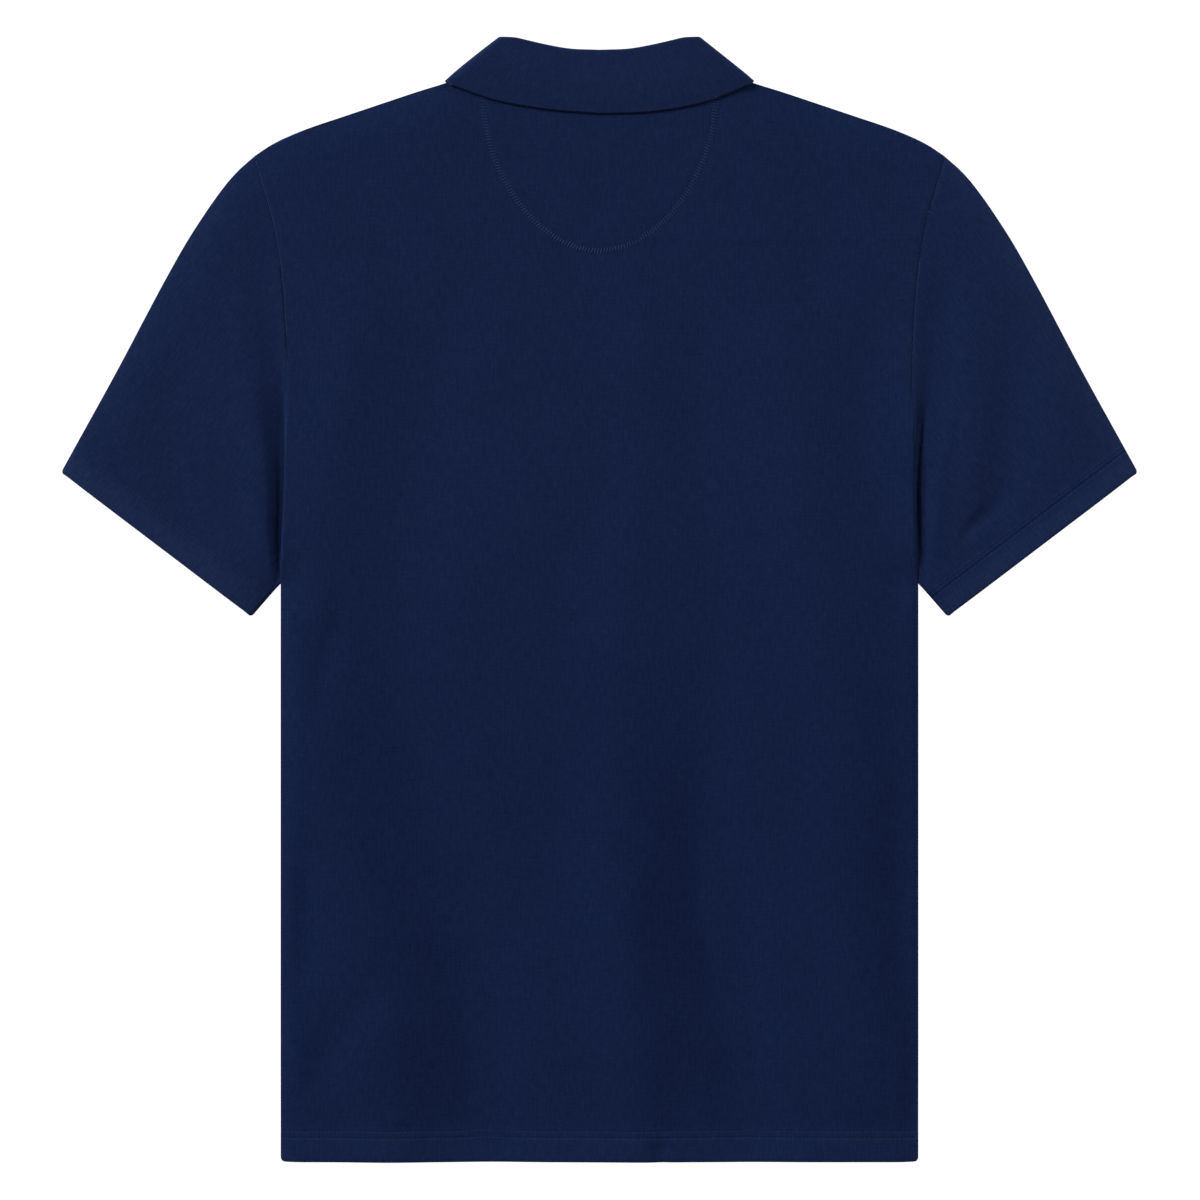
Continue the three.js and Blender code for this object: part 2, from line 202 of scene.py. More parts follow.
# Creases in the upper layer, each a path of x, y, half width and depth. A minus depth is a ridge.
# Every depth is taken CREASE_STRENGTH times.
CREASES = {
    "ridge left": [
        (-158, 235, 24, 0.0), (-168, 173, 26, -1.2), (-186, 115, 26, -1.3), (-194, 41, 24, -1.1),
        (-197, -42, 24, -1.0), (-187, -125, 26, -1.4), (-164, -216, 28, -2.0), (-150, -290, 30, -3.0),
        (-146, -370, 28, -2.0),
    ],
    "trough left": [
        (-104, 235, 24, 0.0), (-112, 173, 26, 1.1), (-128, 115, 26, 1.3), (-135, 41, 26, 1.1),
        (-138, -42, 26, 1.1), (-125, -125, 28, 1.4), (-100, -216, 30, 2.1), (-80, -290, 28, 3.0),
        (-78, -370, 26, 2.0),
    ],
    "ridge middle": [
        (30, 239, 18, 0.0), (28, 160, 18, -0.6), (24, 80, 20, -0.7), (18, 0, 22, -0.9),
        (12, -80, 24, -1.3), (8, -150, 26, -2.3), (14, -220, 28, -3.3), (24, -300, 28, -3.3),
        (32, -370, 28, -2.0),
    ],
    "trough middle": [
        (68, 239, 18, 0.0), (70, 160, 18, 0.6), (74, 80, 18, 0.7), (76, 0, 20, 0.9), (76, -80, 22, 1.3),
        (74, -150, 24, 2.3), (84, -220, 26, 3.2), (98, -300, 26, 3.0), (108, -370, 26, 1.8),
    ],
    "ridge right": [
        (128, 205, 22, 0.0), (132, 160, 24, -1.1), (138, 100, 26, -1.4), (144, 20, 26, -1.2),
        (158, -50, 26, -1.3), (168, -110, 26, -1.5), (170, -170, 26, -1.5), (178, -250, 26, -1.5),
        (184, -340, 26, -1.2),
    ],
    "trough right": [
        (180, 205, 18, 0.0), (186, 160, 20, 1.1), (192, 100, 20, 1.3), (198, 20, 20, 1.2),
        (204, -50, 18, 1.2), (208, -110, 16, 1.2), (208, -200, 16, 1.2), (210, -300, 14, 0.8),
    ],
    "left waist": [
        (-174, 16, 8, 0.0), (-182, -20, 8, 0.7), (-192, -60, 8, 0.7), (-200, -92, 8, 0.1),
    ],
    "left side": [
        (-205, -165, 9, 0.1), (-204, -205, 10, 1.5), (-204, -250, 10, 1.5), (-206, -290, 9, 0.1),
    ],
    "left hem": [
        (-138, -235, 13, 0.0), (-160, -275, 14, 0.9), (-186, -315, 14, 1.0), (-208, -350, 12, 0.3),
    ],
    "across the back": [
        (-70, 251.5, 1.6, 0.0), (-20, 250.5, 1.6, -0.3), (90, 250, 1.6, -0.5), (165, 250, 1.6, 0.0),
    ],
    "right cuff crease": [
        (249, 40, 4, 0.2), (257, 50, 4.5, 1.0), (270, 61, 6, 0.8), (282, 76, 8, 0.2),
    ],
    "right sleeve hollow": [
        (270, 40, 12, 0.2), (282, 90, 15, 1.3), (286, 130, 16, 1.5), (286, 175, 15, 0.8),
        (282, 210, 12, 0.1),
    ],
    "right sleeve ridge": [
        (250, 190, 13, -0.2), (258, 140, 14, -0.9), (256, 90, 14, -1.0), (250, 50, 12, -0.3),
    ],
    "left sleeve hollow": [
        (-288, 190, 18, 0.1), (-298, 140, 20, 0.9), (-296, 90, 18, 0.9), (-284, 50, 14, 0.3),
    ],
    "right armpit roll": [
        (224, 165, 16, -0.1), (221, 132, 16, -0.9), (219, 100, 16, -1.5), (219, 62, 15, -1.6),
        (222, 36, 12, -1.0), (226, 18, 8, -0.1),
    ],
    "right armpit crease": [
        (224.4, 134, 1.6, 0.0), (223.1, 125, 1.8, 1.2), (221.1, 110, 1.9, 1.9), (219.8, 98, 1.8, 2.0),
        (218.6, 79, 1.6, 1.9), (218.9, 61, 1.5, 1.8), (219.5, 41, 1.4, 1.5), (220.2, 20, 1.1, 0.9),
    ],
    "left sleeve roll": [
        (-238, 165, 14, -0.2), (-238, 125, 13, -0.9), (-236, 95, 12, -1.2), (-234, 65, 11, -1.2),
        (-231, 38, 9, -0.8), (-228, 18, 6, -0.1),
    ],
    "hem dent": [
        (43, -387, 5, 1.0), (42, -378, 6, 1.3), (42, -370, 4, 0.3),
    ],
}

CREASE_STRENGTH = 1.6

RIPPLE_SEED = 11
RIPPLES = 26
RIPPLE_LENGTHS = (38.0, 170.0)
RIPPLE_HEIGHT = 0.32
RIPPLE_TURN = 0.5


def make_ripples():
    """Many faint waves of different lengths, as a function of the place in plan."""
    chance = np.random.default_rng(RIPPLE_SEED)
    lengths = chance.uniform(*RIPPLE_LENGTHS, RIPPLES)
    headings = chance.normal(0, RIPPLE_TURN, RIPPLES)
    phases = chance.uniform(0, 2 * np.pi, RIPPLES)
    heights = RIPPLE_HEIGHT * lengths / lengths.mean() / math.sqrt(RIPPLES)

    def ripples(x, y):
        total = np.zeros(np.shape(x))
        for length, heading, phase, height in zip(lengths, headings, phases, heights):
            across = x * math.cos(heading) + y * math.sin(heading)
            total += height * np.sin(2 * np.pi * across / length + phase)
        return total

    return ripples


ripples = make_ripples()

# Where the two layers come together, and how far in from there they are fully apart
CLOSED_EDGES = [
    ([(HALF_CHEST, HEM_Y), UNDERARM], 17.0),
    ([UNDERARM, CUFF_INNER], 38.0),
    ([SHOULDER_CLOSES, *SHOULDER[1:]], 26.0),
    (SLEEVE_FOLD, 30.0),
]
CLOSE_SHAPE = 2.1

# The dip of each sleeve beside its armhole seam, 1 for the right and -1 for the left. Each row is a
# height up the body, how far the seam itself sinks there, the distance from the seam to the bottom
# of the dip, its depth, and the width of the rise beyond it.
SLEEVE_DIP = {
    1: [
        (11, 0.6, 1.2, 0.8, 8), (30, 2.8, 1.3, 3.4, 12), (60, 3.4, 2.0, 4.8, 15),
        (80, 2.2, 3.2, 5.0, 17), (100, 1.0, 5.2, 4.6, 18), (122, 0.3, 8, 3.6, 20),
        (150, 0, 13, 2.7, 24), (179, 0, 17, 1.9, 24), (213, 0, 19, 1.1, 22), (240, 0, 20, 0, 20),
    ],
    -1: [
        (11, 0.6, 0.9, 0.8, 4), (30, 3.0, 0.9, 3.8, 8.5), (48, 4.4, 0.9, 5.4, 11),
        (74, 4.8, 0.9, 5.8, 12), (100, 4.2, 1.0, 5.4, 15), (125, 2.4, 1.6, 4.2, 20),
        (151, 0.8, 4, 2.8, 25), (180, 0, 8, 1.7, 25), (213, 0, 11, 0.9, 22), (245, 0, 12, 0, 18),
    ],
}
SEAM_GROOVE = {1: 0.42, -1: 0.22}
SEAM_GROOVE_WIDTH = 1.3
SEAM_GROOVE_Y = (110, 160)
SEAM_ROLL = 1.5
ARMHOLE_LINE = armhole_at(np.linspace(0, 1, 50))
CUFF_LINE = [CUFF_INNER, CUFF_OUTER]


def lift(x, y):
    """From 0 to 1: where the folded collar and the buttons prop the layers up."""
    return smooth(y, *LIFT_Y) * (1 - smooth(np.abs(x), *LIFT_X))


def lower_z(x, y):
    return CLOTH / 2 + FRONT_LIFT * lift(x, y)


def hem_profile(distance, rows):
    """A hem seen from outside: a slightly fuller band, sunk along its two rows of stitches."""
    before, beyond = HEM_BAND_MARGINS
    band = 1 - smooth(distance, rows[0] - before, rows[1] + beyond)
    full = HEM_PUFF * band * smooth(distance, 0, HEM_ROLL)
    sunk = sum(STITCH_DIP * np.exp(-((distance - row) / STITCH_DIP_WIDTH) ** 2) for row in rows)
    return full - sunk


def beside_armhole(height, x, y, sleeve):
    """Lowers the cloth beside the armhole seams: a groove, and the dip of the sleeve in the armpit."""
    seam = near_path(ARMHOLE_LINE, np.abs(x), y)[0]
    groove = smooth(y, *SEAM_GROOVE_Y) * np.exp(-((seam / SEAM_GROOVE_WIDTH) ** 2))
    for side, rows in SLEEVE_DIP.items():
        here = x * side > 0
        height = height - SEAM_GROOVE[side] * here * groove
        heights, *columns = np.array(rows, float).T
        sink, bottom, depth, width = (np.interp(y, heights, column) for column in columns)
        if sleeve:
            down = sink + (depth - sink) * smooth(seam / bottom, 0, 1)
            height = height - here * down * (1 - smooth((seam - bottom) / width, 0, 1))
        else:
            inside = np.clip(seam / SEAM_ROLL, 0, 1)
            height = height - here * sink * (1 - np.sqrt(1 - (1 - inside) ** 2))
    return height


def moon_relief(x, y):
    """The patch inside the neck lifts the back a little, and its stitches sink a line round it."""
    across = np.abs(x) / PATCH_HALF_WIDTH
    down = (PATCH_CENTRE_Y - y) / PATCH_DEPTH
    reach = (across ** MOON_ROUNDNESS + np.maximum(down, 0) ** MOON_ROUNDNESS) ** (1 / MOON_ROUNDNESS)
    outside = (reach - 1) * PATCH_HALF_WIDTH
    line = np.exp(-((outside / MOON_DIP_WIDTH) ** 2)) * (down > 0)
    return MOON_PUFF * (1 - smooth(outside, *MOON_PUFF_RUN)) - MOON_DIP * line


def upper_z(x, y, sleeve=False):
    """Height of the middle of the upper layer of the body, or of a sleeve."""
    ax = np.abs(x)
    open_ = np.ones(np.shape(x))
    edge = np.full(np.shape(x), np.inf)
    for rows, run in CLOSED_EDGES:
        away = near_path(rows, ax, y)[0]
        open_ = np.minimum(open_, 1 - (1 - np.clip(away / run, 0, 1)) ** CLOSE_SHAPE)
        edge = np.minimum(edge, away)
    raised = lift(x, y)
    least = lower_z(x, y) + CLOTH + SEAM_GAP
    hem_edge = near_path(CUFF_LINE, ax, y)[0] if sleeve else y - HEM_Y
    fuller = FULLNESS_AT_HEM + (1 - FULLNESS_AT_HEM) * smooth(hem_edge, *FULLNESS_RUN)
    full = FULLNESS * (1 - raised) * fuller
    height = least + (LAYER_GAP - SEAM_GAP + PATCH_ROOM * raised + full) * open_
    height = height + ripples(x, y) * smooth(edge, 0, RIPPLE_RUN) * (1 - CALM_WHERE_RAISED * raised)
    near_edge = CREASE_STRENGTH * smooth(edge, 0, CREASE_RUN)
    for rows in CREASES.values():
        away, values = near_path(rows, x, y)
        half_width, depth = values[..., 0], values[..., 1]
        height = height - near_edge * depth * np.exp(-((away / half_width) ** 2))
    rows = SLEEVE_HEM_ROWS if sleeve else BODY_HEM_ROWS
    flare_run = SLEEVE_FLARE_RUN if sleeve else BODY_FLARE_RUN
    height = height + hem_profile(hem_edge, rows) * smooth(edge, 0, HEM_RUN)
    height = height + HEM_FLARE * (1 - np.clip(hem_edge / rows[0], 0, 1)) * smooth(edge, 0, flare_run)
    height = beside_armhole(height, x, y, sleeve)
    if not sleeve:
        height = height + moon_relief(x, y)
    return np.maximum(height, least)


# ---------------------------------------------------------------- painted light and shade in the cloth's colour

PLAIN_TONE = 0.87
COLLAR_TONE = 0.89

BODY_TONE = 0.935
# Painted shade low on the body; painted highlights beside the armholes, along the right side edge and over
# the hem.
LOW_BODY_PAINTED_SHADE = 0.11
LOW_BODY_Y = (-160, 120)
ARMHOLE_PAINTED_LIGHT = 0.045
ARMHOLE_PAINTED_LIGHT_Y = (100, 200)
ARMHOLE_PAINTED_LIGHT_AND_SHADE_RUN = 40
SIDE_PAINTED_HIGHLIGHT = 0.22
SIDE_PAINTED_HIGHLIGHT_WIDTH = 6
HEM_PAINTED_HIGHLIGHT = 0.09

# Painted shade on the sleeve beside its armhole seam and along the right cuff's rows of stitches; painted
# highlights along the outer fold and the cuffs.
SLEEVE_PAINTED_SHADE_TONE = 0.95
FOLD_PAINTED_HIGHLIGHT = {1: 0.34, -1: 0.04}
FOLD_PAINTED_HIGHLIGHT_WIDTH = 10
RIGHT_CUFF_PAINTED_HIGHLIGHT = 0.17
RIGHT_CUFF_PAINTED_HIGHLIGHT_RUN = (9, 16)
RIGHT_ROW_PAINTED_SHADE = 0.22
RIGHT_ROW_PLACE = 18.2
RIGHT_ROW_WIDTH = 2.2
LEFT_CUFF_PAINTED_HIGHLIGHT = 0.25
LEFT_CUFF_PAINTED_HIGHLIGHT_RUN = (6, 24)


def body_tone(x, y):
    """Share of the full colour, with painted shade low on the body and painted highlights beside the
    armholes, along the right side and over the hem.
    """
    seam = near_path(ARMHOLE_LINE, np.abs(x), y)[0]
    low = 1 - smooth(y, *LOW_BODY_Y)
    by_seam = (1 - smooth(seam, 0, ARMHOLE_PAINTED_LIGHT_AND_SHADE_RUN)) * smooth(y, *ARMHOLE_PAINTED_LIGHT_Y)
    by_side = np.exp(-((HALF_CHEST - x) / SIDE_PAINTED_HIGHLIGHT_WIDTH) ** 2) * (y < UNDERARM[1])
    by_hem = 1 - smooth(y - HEM_Y, *BODY_HEM_ROWS)
    return BODY_TONE - LOW_BODY_PAINTED_SHADE * low + ARMHOLE_PAINTED_LIGHT * by_seam + SIDE_PAINTED_HIGHLIGHT * by_side + HEM_PAINTED_HIGHLIGHT * by_hem


def sleeve_tone(x, y):
    """Share of the full colour, with painted shade beside the armhole seam and along the right cuff's rows of
    stitches, and painted highlights along the cuffs and the outer fold.
    """
    seam = near_path(ARMHOLE_LINE, np.abs(x), y)[0]
    cuff = near_path(CUFF_LINE, np.abs(x), y)[0]
    fold = near_path(SLEEVE_FOLD, np.abs(x), y)[0]
    on_right = x > 0
    painted_fold_highlight = np.where(on_right, FOLD_PAINTED_HIGHLIGHT[1], FOLD_PAINTED_HIGHLIGHT[-1]) * np.exp(-fold / FOLD_PAINTED_HIGHLIGHT_WIDTH)
    rows = np.exp(-((cuff - RIGHT_ROW_PLACE) / RIGHT_ROW_WIDTH) ** 2)
    right_band = RIGHT_CUFF_PAINTED_HIGHLIGHT * (1 - smooth(cuff, *RIGHT_CUFF_PAINTED_HIGHLIGHT_RUN)) - RIGHT_ROW_PAINTED_SHADE * rows
    left_band = LEFT_CUFF_PAINTED_HIGHLIGHT * (1 - smooth(cuff, *LEFT_CUFF_PAINTED_HIGHLIGHT_RUN))
    tone_and_painted_light = SLEEVE_PAINTED_SHADE_TONE + (1 - SLEEVE_PAINTED_SHADE_TONE) * smooth(seam, 0, ARMHOLE_PAINTED_LIGHT_AND_SHADE_RUN)
    return tone_and_painted_light + painted_fold_highlight + np.where(on_right, right_band, left_band)


# ---------------------------------------------------------------- making cloth

RIM_STEPS = 3
TINY = 1e-12
LEAST_RIM = 1e-9


def cloth(name, grid, thickness, material, tone_and_painted_light=PLAIN_TONE, ring=False, keep=None, flat=None):
    """A closed wall of cloth on both sides of a grid of middle points, with round edges.

    A ring joins its last column to its first. Keep says which cells to keep, the tone gives the share
    of the full colour with its painted light and shade, and flat gives the place of each point in the cut-out
    cloth.
    """
    columns, rows = grid.shape[:2]
    points = grid.reshape(-1, 3)
    count = len(points)
    thick = np.broadcast_to(np.asarray(thickness, float), grid.shape[:2]).reshape(-1)
    index = np.arange(count).reshape(columns, rows)
    here = index if ring else index[:-1]
    following = np.roll(index, -1, axis=0) if ring else index[1:]
    cells = np.stack([here[:, :-1], following[:, :-1], following[:, 1:], here[:, 1:]], -1)
    if keep is not None:
        cells = cells[keep]
    cells = cells.reshape(-1, 4)
    a, b, c, d = (points[cells[:, corner]] for corner in range(4))
    facing = np.cross(c - a, d - b)
    facing /= np.linalg.norm(facing, axis=1)[:, None] + TINY
    normals = np.zeros((count, 3))
    for corner in range(4):
        np.add.at(normals, cells[:, corner], facing)
    normals /= np.linalg.norm(normals, axis=1)[:, None] + TINY

    starts = cells.reshape(-1)
    stops = np.roll(cells, -1, axis=1).reshape(-1)
    open_edge = ~np.isin(starts * count + stops, stops * count + starts)
    starts, stops = starts[open_edge], stops[open_edge]
    outward = np.zeros((count, 3))
    sideways = np.cross(points[stops] - points[starts], normals[starts])
    np.add.at(outward, starts, sideways)
    np.add.at(outward, stops, sideways)
    outward -= (outward * normals).sum(1)[:, None] * normals
    size = np.linalg.norm(outward, axis=1)
    rim = np.flatnonzero(size > LEAST_RIM)
    outward[rim] /= size[rim][:, None]
    half = thick[:, None] / 2
    middle = points.copy()
    middle[rim] -= outward[rim] * half[rim]

    loops = [middle + normals * half, middle - normals * half]
    place = np.full(count, -1)
    place[rim] = np.arange(len(rim))
    for step in range(1, RIM_STEPS + 1):
        turn = math.pi * step / (RIM_STEPS + 1)
        loops.append((middle + half * (math.cos(turn) * normals + math.sin(turn) * outward))[rim])
    vertices = np.vstack(loops)
    firsts = [2 * count + step * len(rim) for step in range(RIM_STEPS)]
    rings = [starts, *(first + place[starts] for first in firsts), count + starts]
    ends = [stops, *(first + place[stops] for first in firsts), count + stops]
    faces = [cells, cells[:, ::-1] + count]
    corners = [cells, cells[:, ::-1]]
    for level in range(RIM_STEPS + 1):
        faces.append(np.stack([rings[level], rings[level + 1], ends[level + 1], ends[level]], -1))
        corners.append(np.stack([starts, starts, stops, stops], -1))
    faces = np.vstack(faces)
    corners = np.vstack(corners)

    mesh = bpy.data.meshes.new(name)
    mesh.vertices.add(len(vertices))
    mesh.vertices.foreach_set("co", (vertices * MM).astype(np.float32).reshape(-1))
    mesh.loops.add(faces.size)
    mesh.loops.foreach_set("vertex_index", faces.reshape(-1).astype(np.int32))
    mesh.polygons.add(len(faces))
    mesh.polygons.foreach_set("loop_start", np.arange(0, faces.size, 4, dtype=np.int32))
    mesh.polygons.foreach_set("loop_total", np.full(len(faces), 4, dtype=np.int32))
    mesh.update(calc_edges=True)
    mesh.validate()
    mesh.polygons.foreach_set("use_smooth", np.ones(len(mesh.polygons), dtype=bool))
    flat = grid[..., :2] if flat is None else flat
    uv = mesh.uv_layers.new(name="cloth")
    unrolled = flat.reshape(-1, 2)[corners.reshape(-1)] * MM
    uv.data.foreach_set("uv", unrolled.astype(np.float32).reshape(-1))
    # The tone carries painted light and shade, which the cloth material multiplies into its colour.
    tone_and_painted_light = np.broadcast_to(np.asarray(tone_and_painted_light, float), grid.shape[:2]).reshape(-1)
    tones = np.concatenate([tone_and_painted_light, tone_and_painted_light, np.tile(tone_and_painted_light[rim], RIM_STEPS)])
    mesh.attributes.new("tone_and_painted_light", "FLOAT", "POINT").data.foreach_set("value", tones.astype(np.float32))
    mesh.materials.append(material)
    piece = bpy.data.objects.new(name, mesh)
    bpy.context.scene.collection.objects.link(piece)
    return piece


def refined(count, length, edge_steps):
    """Shares of a length: even steps, with finer ones at the given distances from its end."""
    fine = 1 - np.array(edge_steps) / length
    even = np.linspace(0, fine[0], count, endpoint=False)
    return np.concatenate([even, fine, [1.0]])


EDGE_STEPS = (8.0, 5.5, 3.6, 2.2, 1.2, 0.5)
HEM_CORNER_REACH = 25.0


def half_panel(inner_x, neck, columns, lower_rows, upper_rows, hem_rows):
    """Places in plan of the +X half of a body panel: columns from inner_x outwards, each from the hem up."""
    neck_at = curve_through(neck)
    neck_columns = max(2, round(columns * NECK_SIDE[0] / SHOULDER_POINT[0]))
    on_neck = neck_at(np.linspace(0, 1, neck_columns, endpoint=False))
    on_shoulder = shoulder_at(refined(columns - neck_columns, shoulder_at.length, EDGE_STEPS))
    top = np.vstack([on_neck, on_shoulder])
    share = ((top[:, 0] - inner_x) / (SHOULDER_POINT[0] - inner_x))[:, None]
    side_x = inner_x + share * (HALF_CHEST - inner_x)
    above_hem = np.linspace(HEM_Y + hem_rows[-1], UNDERARM[1], lower_rows)[1:-1]
    lower_y = np.concatenate([HEM_Y + np.array(hem_rows), above_hem])
    lower = np.stack(np.broadcast_arrays(side_x, lower_y[None, :]), -1)
    t = refined(upper_rows, armhole_at.length, EDGE_STEPS)
    bend = armhole_at(t) - (np.outer(1 - t, UNDERARM) + np.outer(t, SHOULDER_POINT))
    start = np.stack(np.broadcast_arrays(side_x, UNDERARM[1]), -1)
    upper = start * (1 - t)[None, :, None] + top[:, None] * t[None, :, None] + share[..., None] * bend[None]
    plan = np.concatenate([lower, upper], axis=1)
    corner_y = np.clip((HEM_Y + HEM_CORNER - plan[..., 1]) / HEM_CORNER, 0, 1)
    near_side = smooth(plan[..., 0], HALF_CHEST - HEM_CORNER_REACH, HALF_CHEST)
    pull = HEM_CORNER * (1 - np.sqrt(1 - corner_y ** 2)) * near_side
    plan[..., 0] -= pull
    return plan


def both_sides(half, shared_middle):
    """A half and its mirror image, which share their middle column or not."""
    other = half[1:] if shared_middle else half
    other = other[::-1].copy()
    other[..., 0] *= -1
    return np.concatenate([other, half])


def with_height(plan, height):
    return np.concatenate([plan, height[..., None]], -1)


def hem_thickness(distance, rows):
    return CLOTH + HEM_PLY * (1 - smooth(distance, rows[1], rows[1] + HEM_STEP))


# Rows of places up from a hem, closer where the stitches are
HEM_STEP = 3
FINE_HEM = (0, 0.4, 1.0, 1.8, *np.arange(3, 15, 1.0), *np.arange(15, 23, 0.4), 23, 24.2, 26)
COARSE_HEM = (0, 1, 3, 8, 16, 24)
FINE_CUFF = (*np.arange(0.8, 9.2, 0.4), *np.arange(9.6, 22, 1.0), 22, 22.9, 23.6, CUFF_BAND)

# Columns, rows up to the underarm, and rows from there to the shoulder, in half a panel
BACK_MESH = (62, 92, 78)
FRONT_MESH = (30, 24, 36)


def make_back(material):
    plan = both_sides(half_panel(0, BACK_NECK, *BACK_MESH, FINE_HEM), True)
    x, y = plan[..., 0], plan[..., 1]
    thick = hem_thickness(y - HEM_Y, BODY_HEM_ROWS)
    return cloth("polo_back", with_height(plan, upper_z(x, y)), thick, material, body_tone(x, y))


def make_front(material):
    """The front panel, slit down its middle for the placket."""
    slit = placket_high[0] + SEAM_GAP
    slit_end = placket_low[1] - SEAM_GAP
    half = half_panel(slit, FRONT_NECK, *FRONT_MESH, COARSE_HEM)
    slit_row = int(np.argmin(np.abs(half[0, :, 1] - slit_end)))
    half[0, slit_row, 1] = slit_end
    plan = both_sides(half, False)
    keep = np.ones((len(plan) - 1, plan.shape[1] - 1), bool)
    keep[len(half) - 1, slit_row:] = False
    x, y = plan[..., 0], plan[..., 1]
    return cloth("polo_front", with_height(plan, lower_z(x, y)), CLOTH, material, keep=keep)


def sleeve_plan(across, along_steps, band_steps):
    """Places in plan of the flat right sleeve: for each share across, from armhole to cuff."""
    inner, outer = np.array(CUFF_INNER), np.array(CUFF_OUTER)
    cuff_way = (outer - inner) / np.linalg.norm(outer - inner)
    inward = np.array([-cuff_way[1], cuff_way[0]])
    seam_way = np.array(UNDERARM) - inner
    fold_way = np.array(SLEEVE_FOLD[-2]) - outer
    band_inner = inner + CUFF_BAND * seam_way / (seam_way @ inward)
    band_outer = outer + CUFF_BAND * fold_way / (fold_way @ inward)
    fold_at = curve_through([*SLEEVE_FOLD[:-1], band_outer])
    start = armhole_at(across)
    ahead, behind = np.clip(across + TANGENT_STEP, 0, 1), np.clip(across - TANGENT_STEP, 0, 1)
    tangent = armhole_at(ahead) - armhole_at(behind)
    tangent /= np.linalg.norm(tangent, axis=-1)[:, None]
    start = start + SEAM_OVERLAP * np.stack([-tangent[:, 1], tangent[:, 0]], -1)
    band_start = band_inner + across[:, None] * (band_outer - band_inner)
    cuff = inner + across[:, None] * (outer - inner)
    t = along_steps[None, :, None]
    straight_fold = np.outer(1 - along_steps, SHOULDER_POINT) + np.outer(along_steps, band_outer)
    bulge = fold_at(along_steps) - straight_fold
    upper = start[:, None] * (1 - t) + band_start[:, None] * t + across[:, None, None] * bulge[None]
    s = (band_steps / CUFF_BAND)[None, :, None]
    band = band_start[:, None] * (1 - s) + cuff[:, None] * s
    return np.concatenate([upper, band], axis=1)


TANGENT_STEP = 0.004
SLEEVE_ROWS = 34
SLEEVE_EDGE_LENGTH = 150
SLEEVE_COLUMNS = 90
FOLD_TURNS = 9
PLACE_STEPS = 401
FOLD_ROOM = 1.02
MOST_ROOM = 0.45
FOLD_MARGIN = 0.2


def make_sleeve(name, side, material):
    """One piece, folded along its outer line and joined under the arm into a flat tube."""
    along = 1 - refined(SLEEVE_ROWS, SLEEVE_EDGE_LENGTH, EDGE_STEPS)[::-1]
    band = np.array(FINE_CUFF)
    fold_radius = (CLOTH + SEAM_GAP) / 2
    middle_z = CLOTH + SEAM_GAP / 2
    inset = CLOTH / 2 + fold_radius
    spread = np.linspace(0, 1, SLEEVE_COLUMNS)
    flat_shares = ((1 - np.cos(np.pi * spread)) / 2 + spread)[1:-1] / 2
    turns = np.radians(np.linspace(90, -90, FOLD_TURNS))

    inner_edge, outer_edge = sleeve_plan(np.array([0.0, 1.0]), along, band)
    across_way = outer_edge - inner_edge
    width = np.linalg.norm(across_way, axis=-1)
    across_way /= width[:, None]
    to_cuff = np.concatenate([np.full(len(along), CUFF_BAND), CUFF_BAND - band])
    corner = CUFF_CORNER * (1 - np.sqrt(1 - np.clip(1 - to_cuff / CUFF_CORNER, 0, 1) ** 2))
    places = sleeve_plan(np.linspace(0, 1, PLACE_STEPS), along, band)
    row_numbers = np.arange(len(width))

    def at_shares(shares):
        """Places in plan at a share of the width in each row, read between those already worked out."""
        number = np.clip(shares, 0, 1) * (PLACE_STEPS - 1)
        low = np.minimum(number.astype(int), PLACE_STEPS - 2)
        part = (number - low)[:, None]
        return places[low, row_numbers] * (1 - part) + places[low + 1, row_numbers] * part

    def flat_column(share):
        """Places of a flat column, kept clear of the round folds and drawn in at the cuff's corners."""
        room = np.clip(inset * FOLD_ROOM / width, 0, MOST_ROOM)
        plan = at_shares(room + share * (1 - 2 * room))
        return plan + across_way * (corner * (1 - 2 * share))[:, None]

    def fold_columns(outer, angles):
        """The round fold along the outer edge, or along the seam under the arm."""
        sign = -1 if outer else 1
        columns = []
        for angle in angles:
            reach = (CLOTH / 2 + fold_radius * (1 - math.cos(angle))) / width
            plan = at_shares(1 - reach if outer else reach) + sign * across_way * corner[:, None]
            columns.append(with_height(plan, np.full(len(plan), middle_z + fold_radius * math.sin(angle))))
        return columns

    plans = [flat_column(share) for share in flat_shares]
    upper = [with_height(plan, upper_z(side * plan[:, 0], plan[:, 1], True)) for plan in plans]
    lower = [with_height(plan, lower_z(plan[:, 0], plan[:, 1])) for plan in plans[::-1]]
    grid = np.stack([*upper, *fold_columns(True, turns), *lower, *fold_columns(False, turns[::-1])])
    grid[..., 0] *= side
    grid = grid[::side]
    outer_way = np.array(CUFF_OUTER) - SLEEVE_FOLD[3]
    heading = math.atan2(outer_way[1], outer_way[0]) + math.pi / 2
    cosine, sine = math.cos(heading), side * math.sin(heading)
    flat = grid[..., :2] @ np.array([[cosine, sine], [-sine, cosine]]).T
    cuff = near_path(CUFF_LINE, np.abs(grid[..., 0]), grid[..., 1])[0]
    in_fold = np.abs(grid[..., 2] - middle_z) < fold_radius + FOLD_MARGIN
    thick = np.where(in_fold, CLOTH, hem_thickness(cuff, SLEEVE_HEM_ROWS))
    tone_and_painted_light = sleeve_tone(grid[..., 0], grid[..., 1])
    return cloth(name, grid[:, ::-1], thick[:, ::-1], material, tone_and_painted_light[:, ::-1], ring=True, flat=flat[:, ::-1])


# ---------------------------------------------------------------- collar

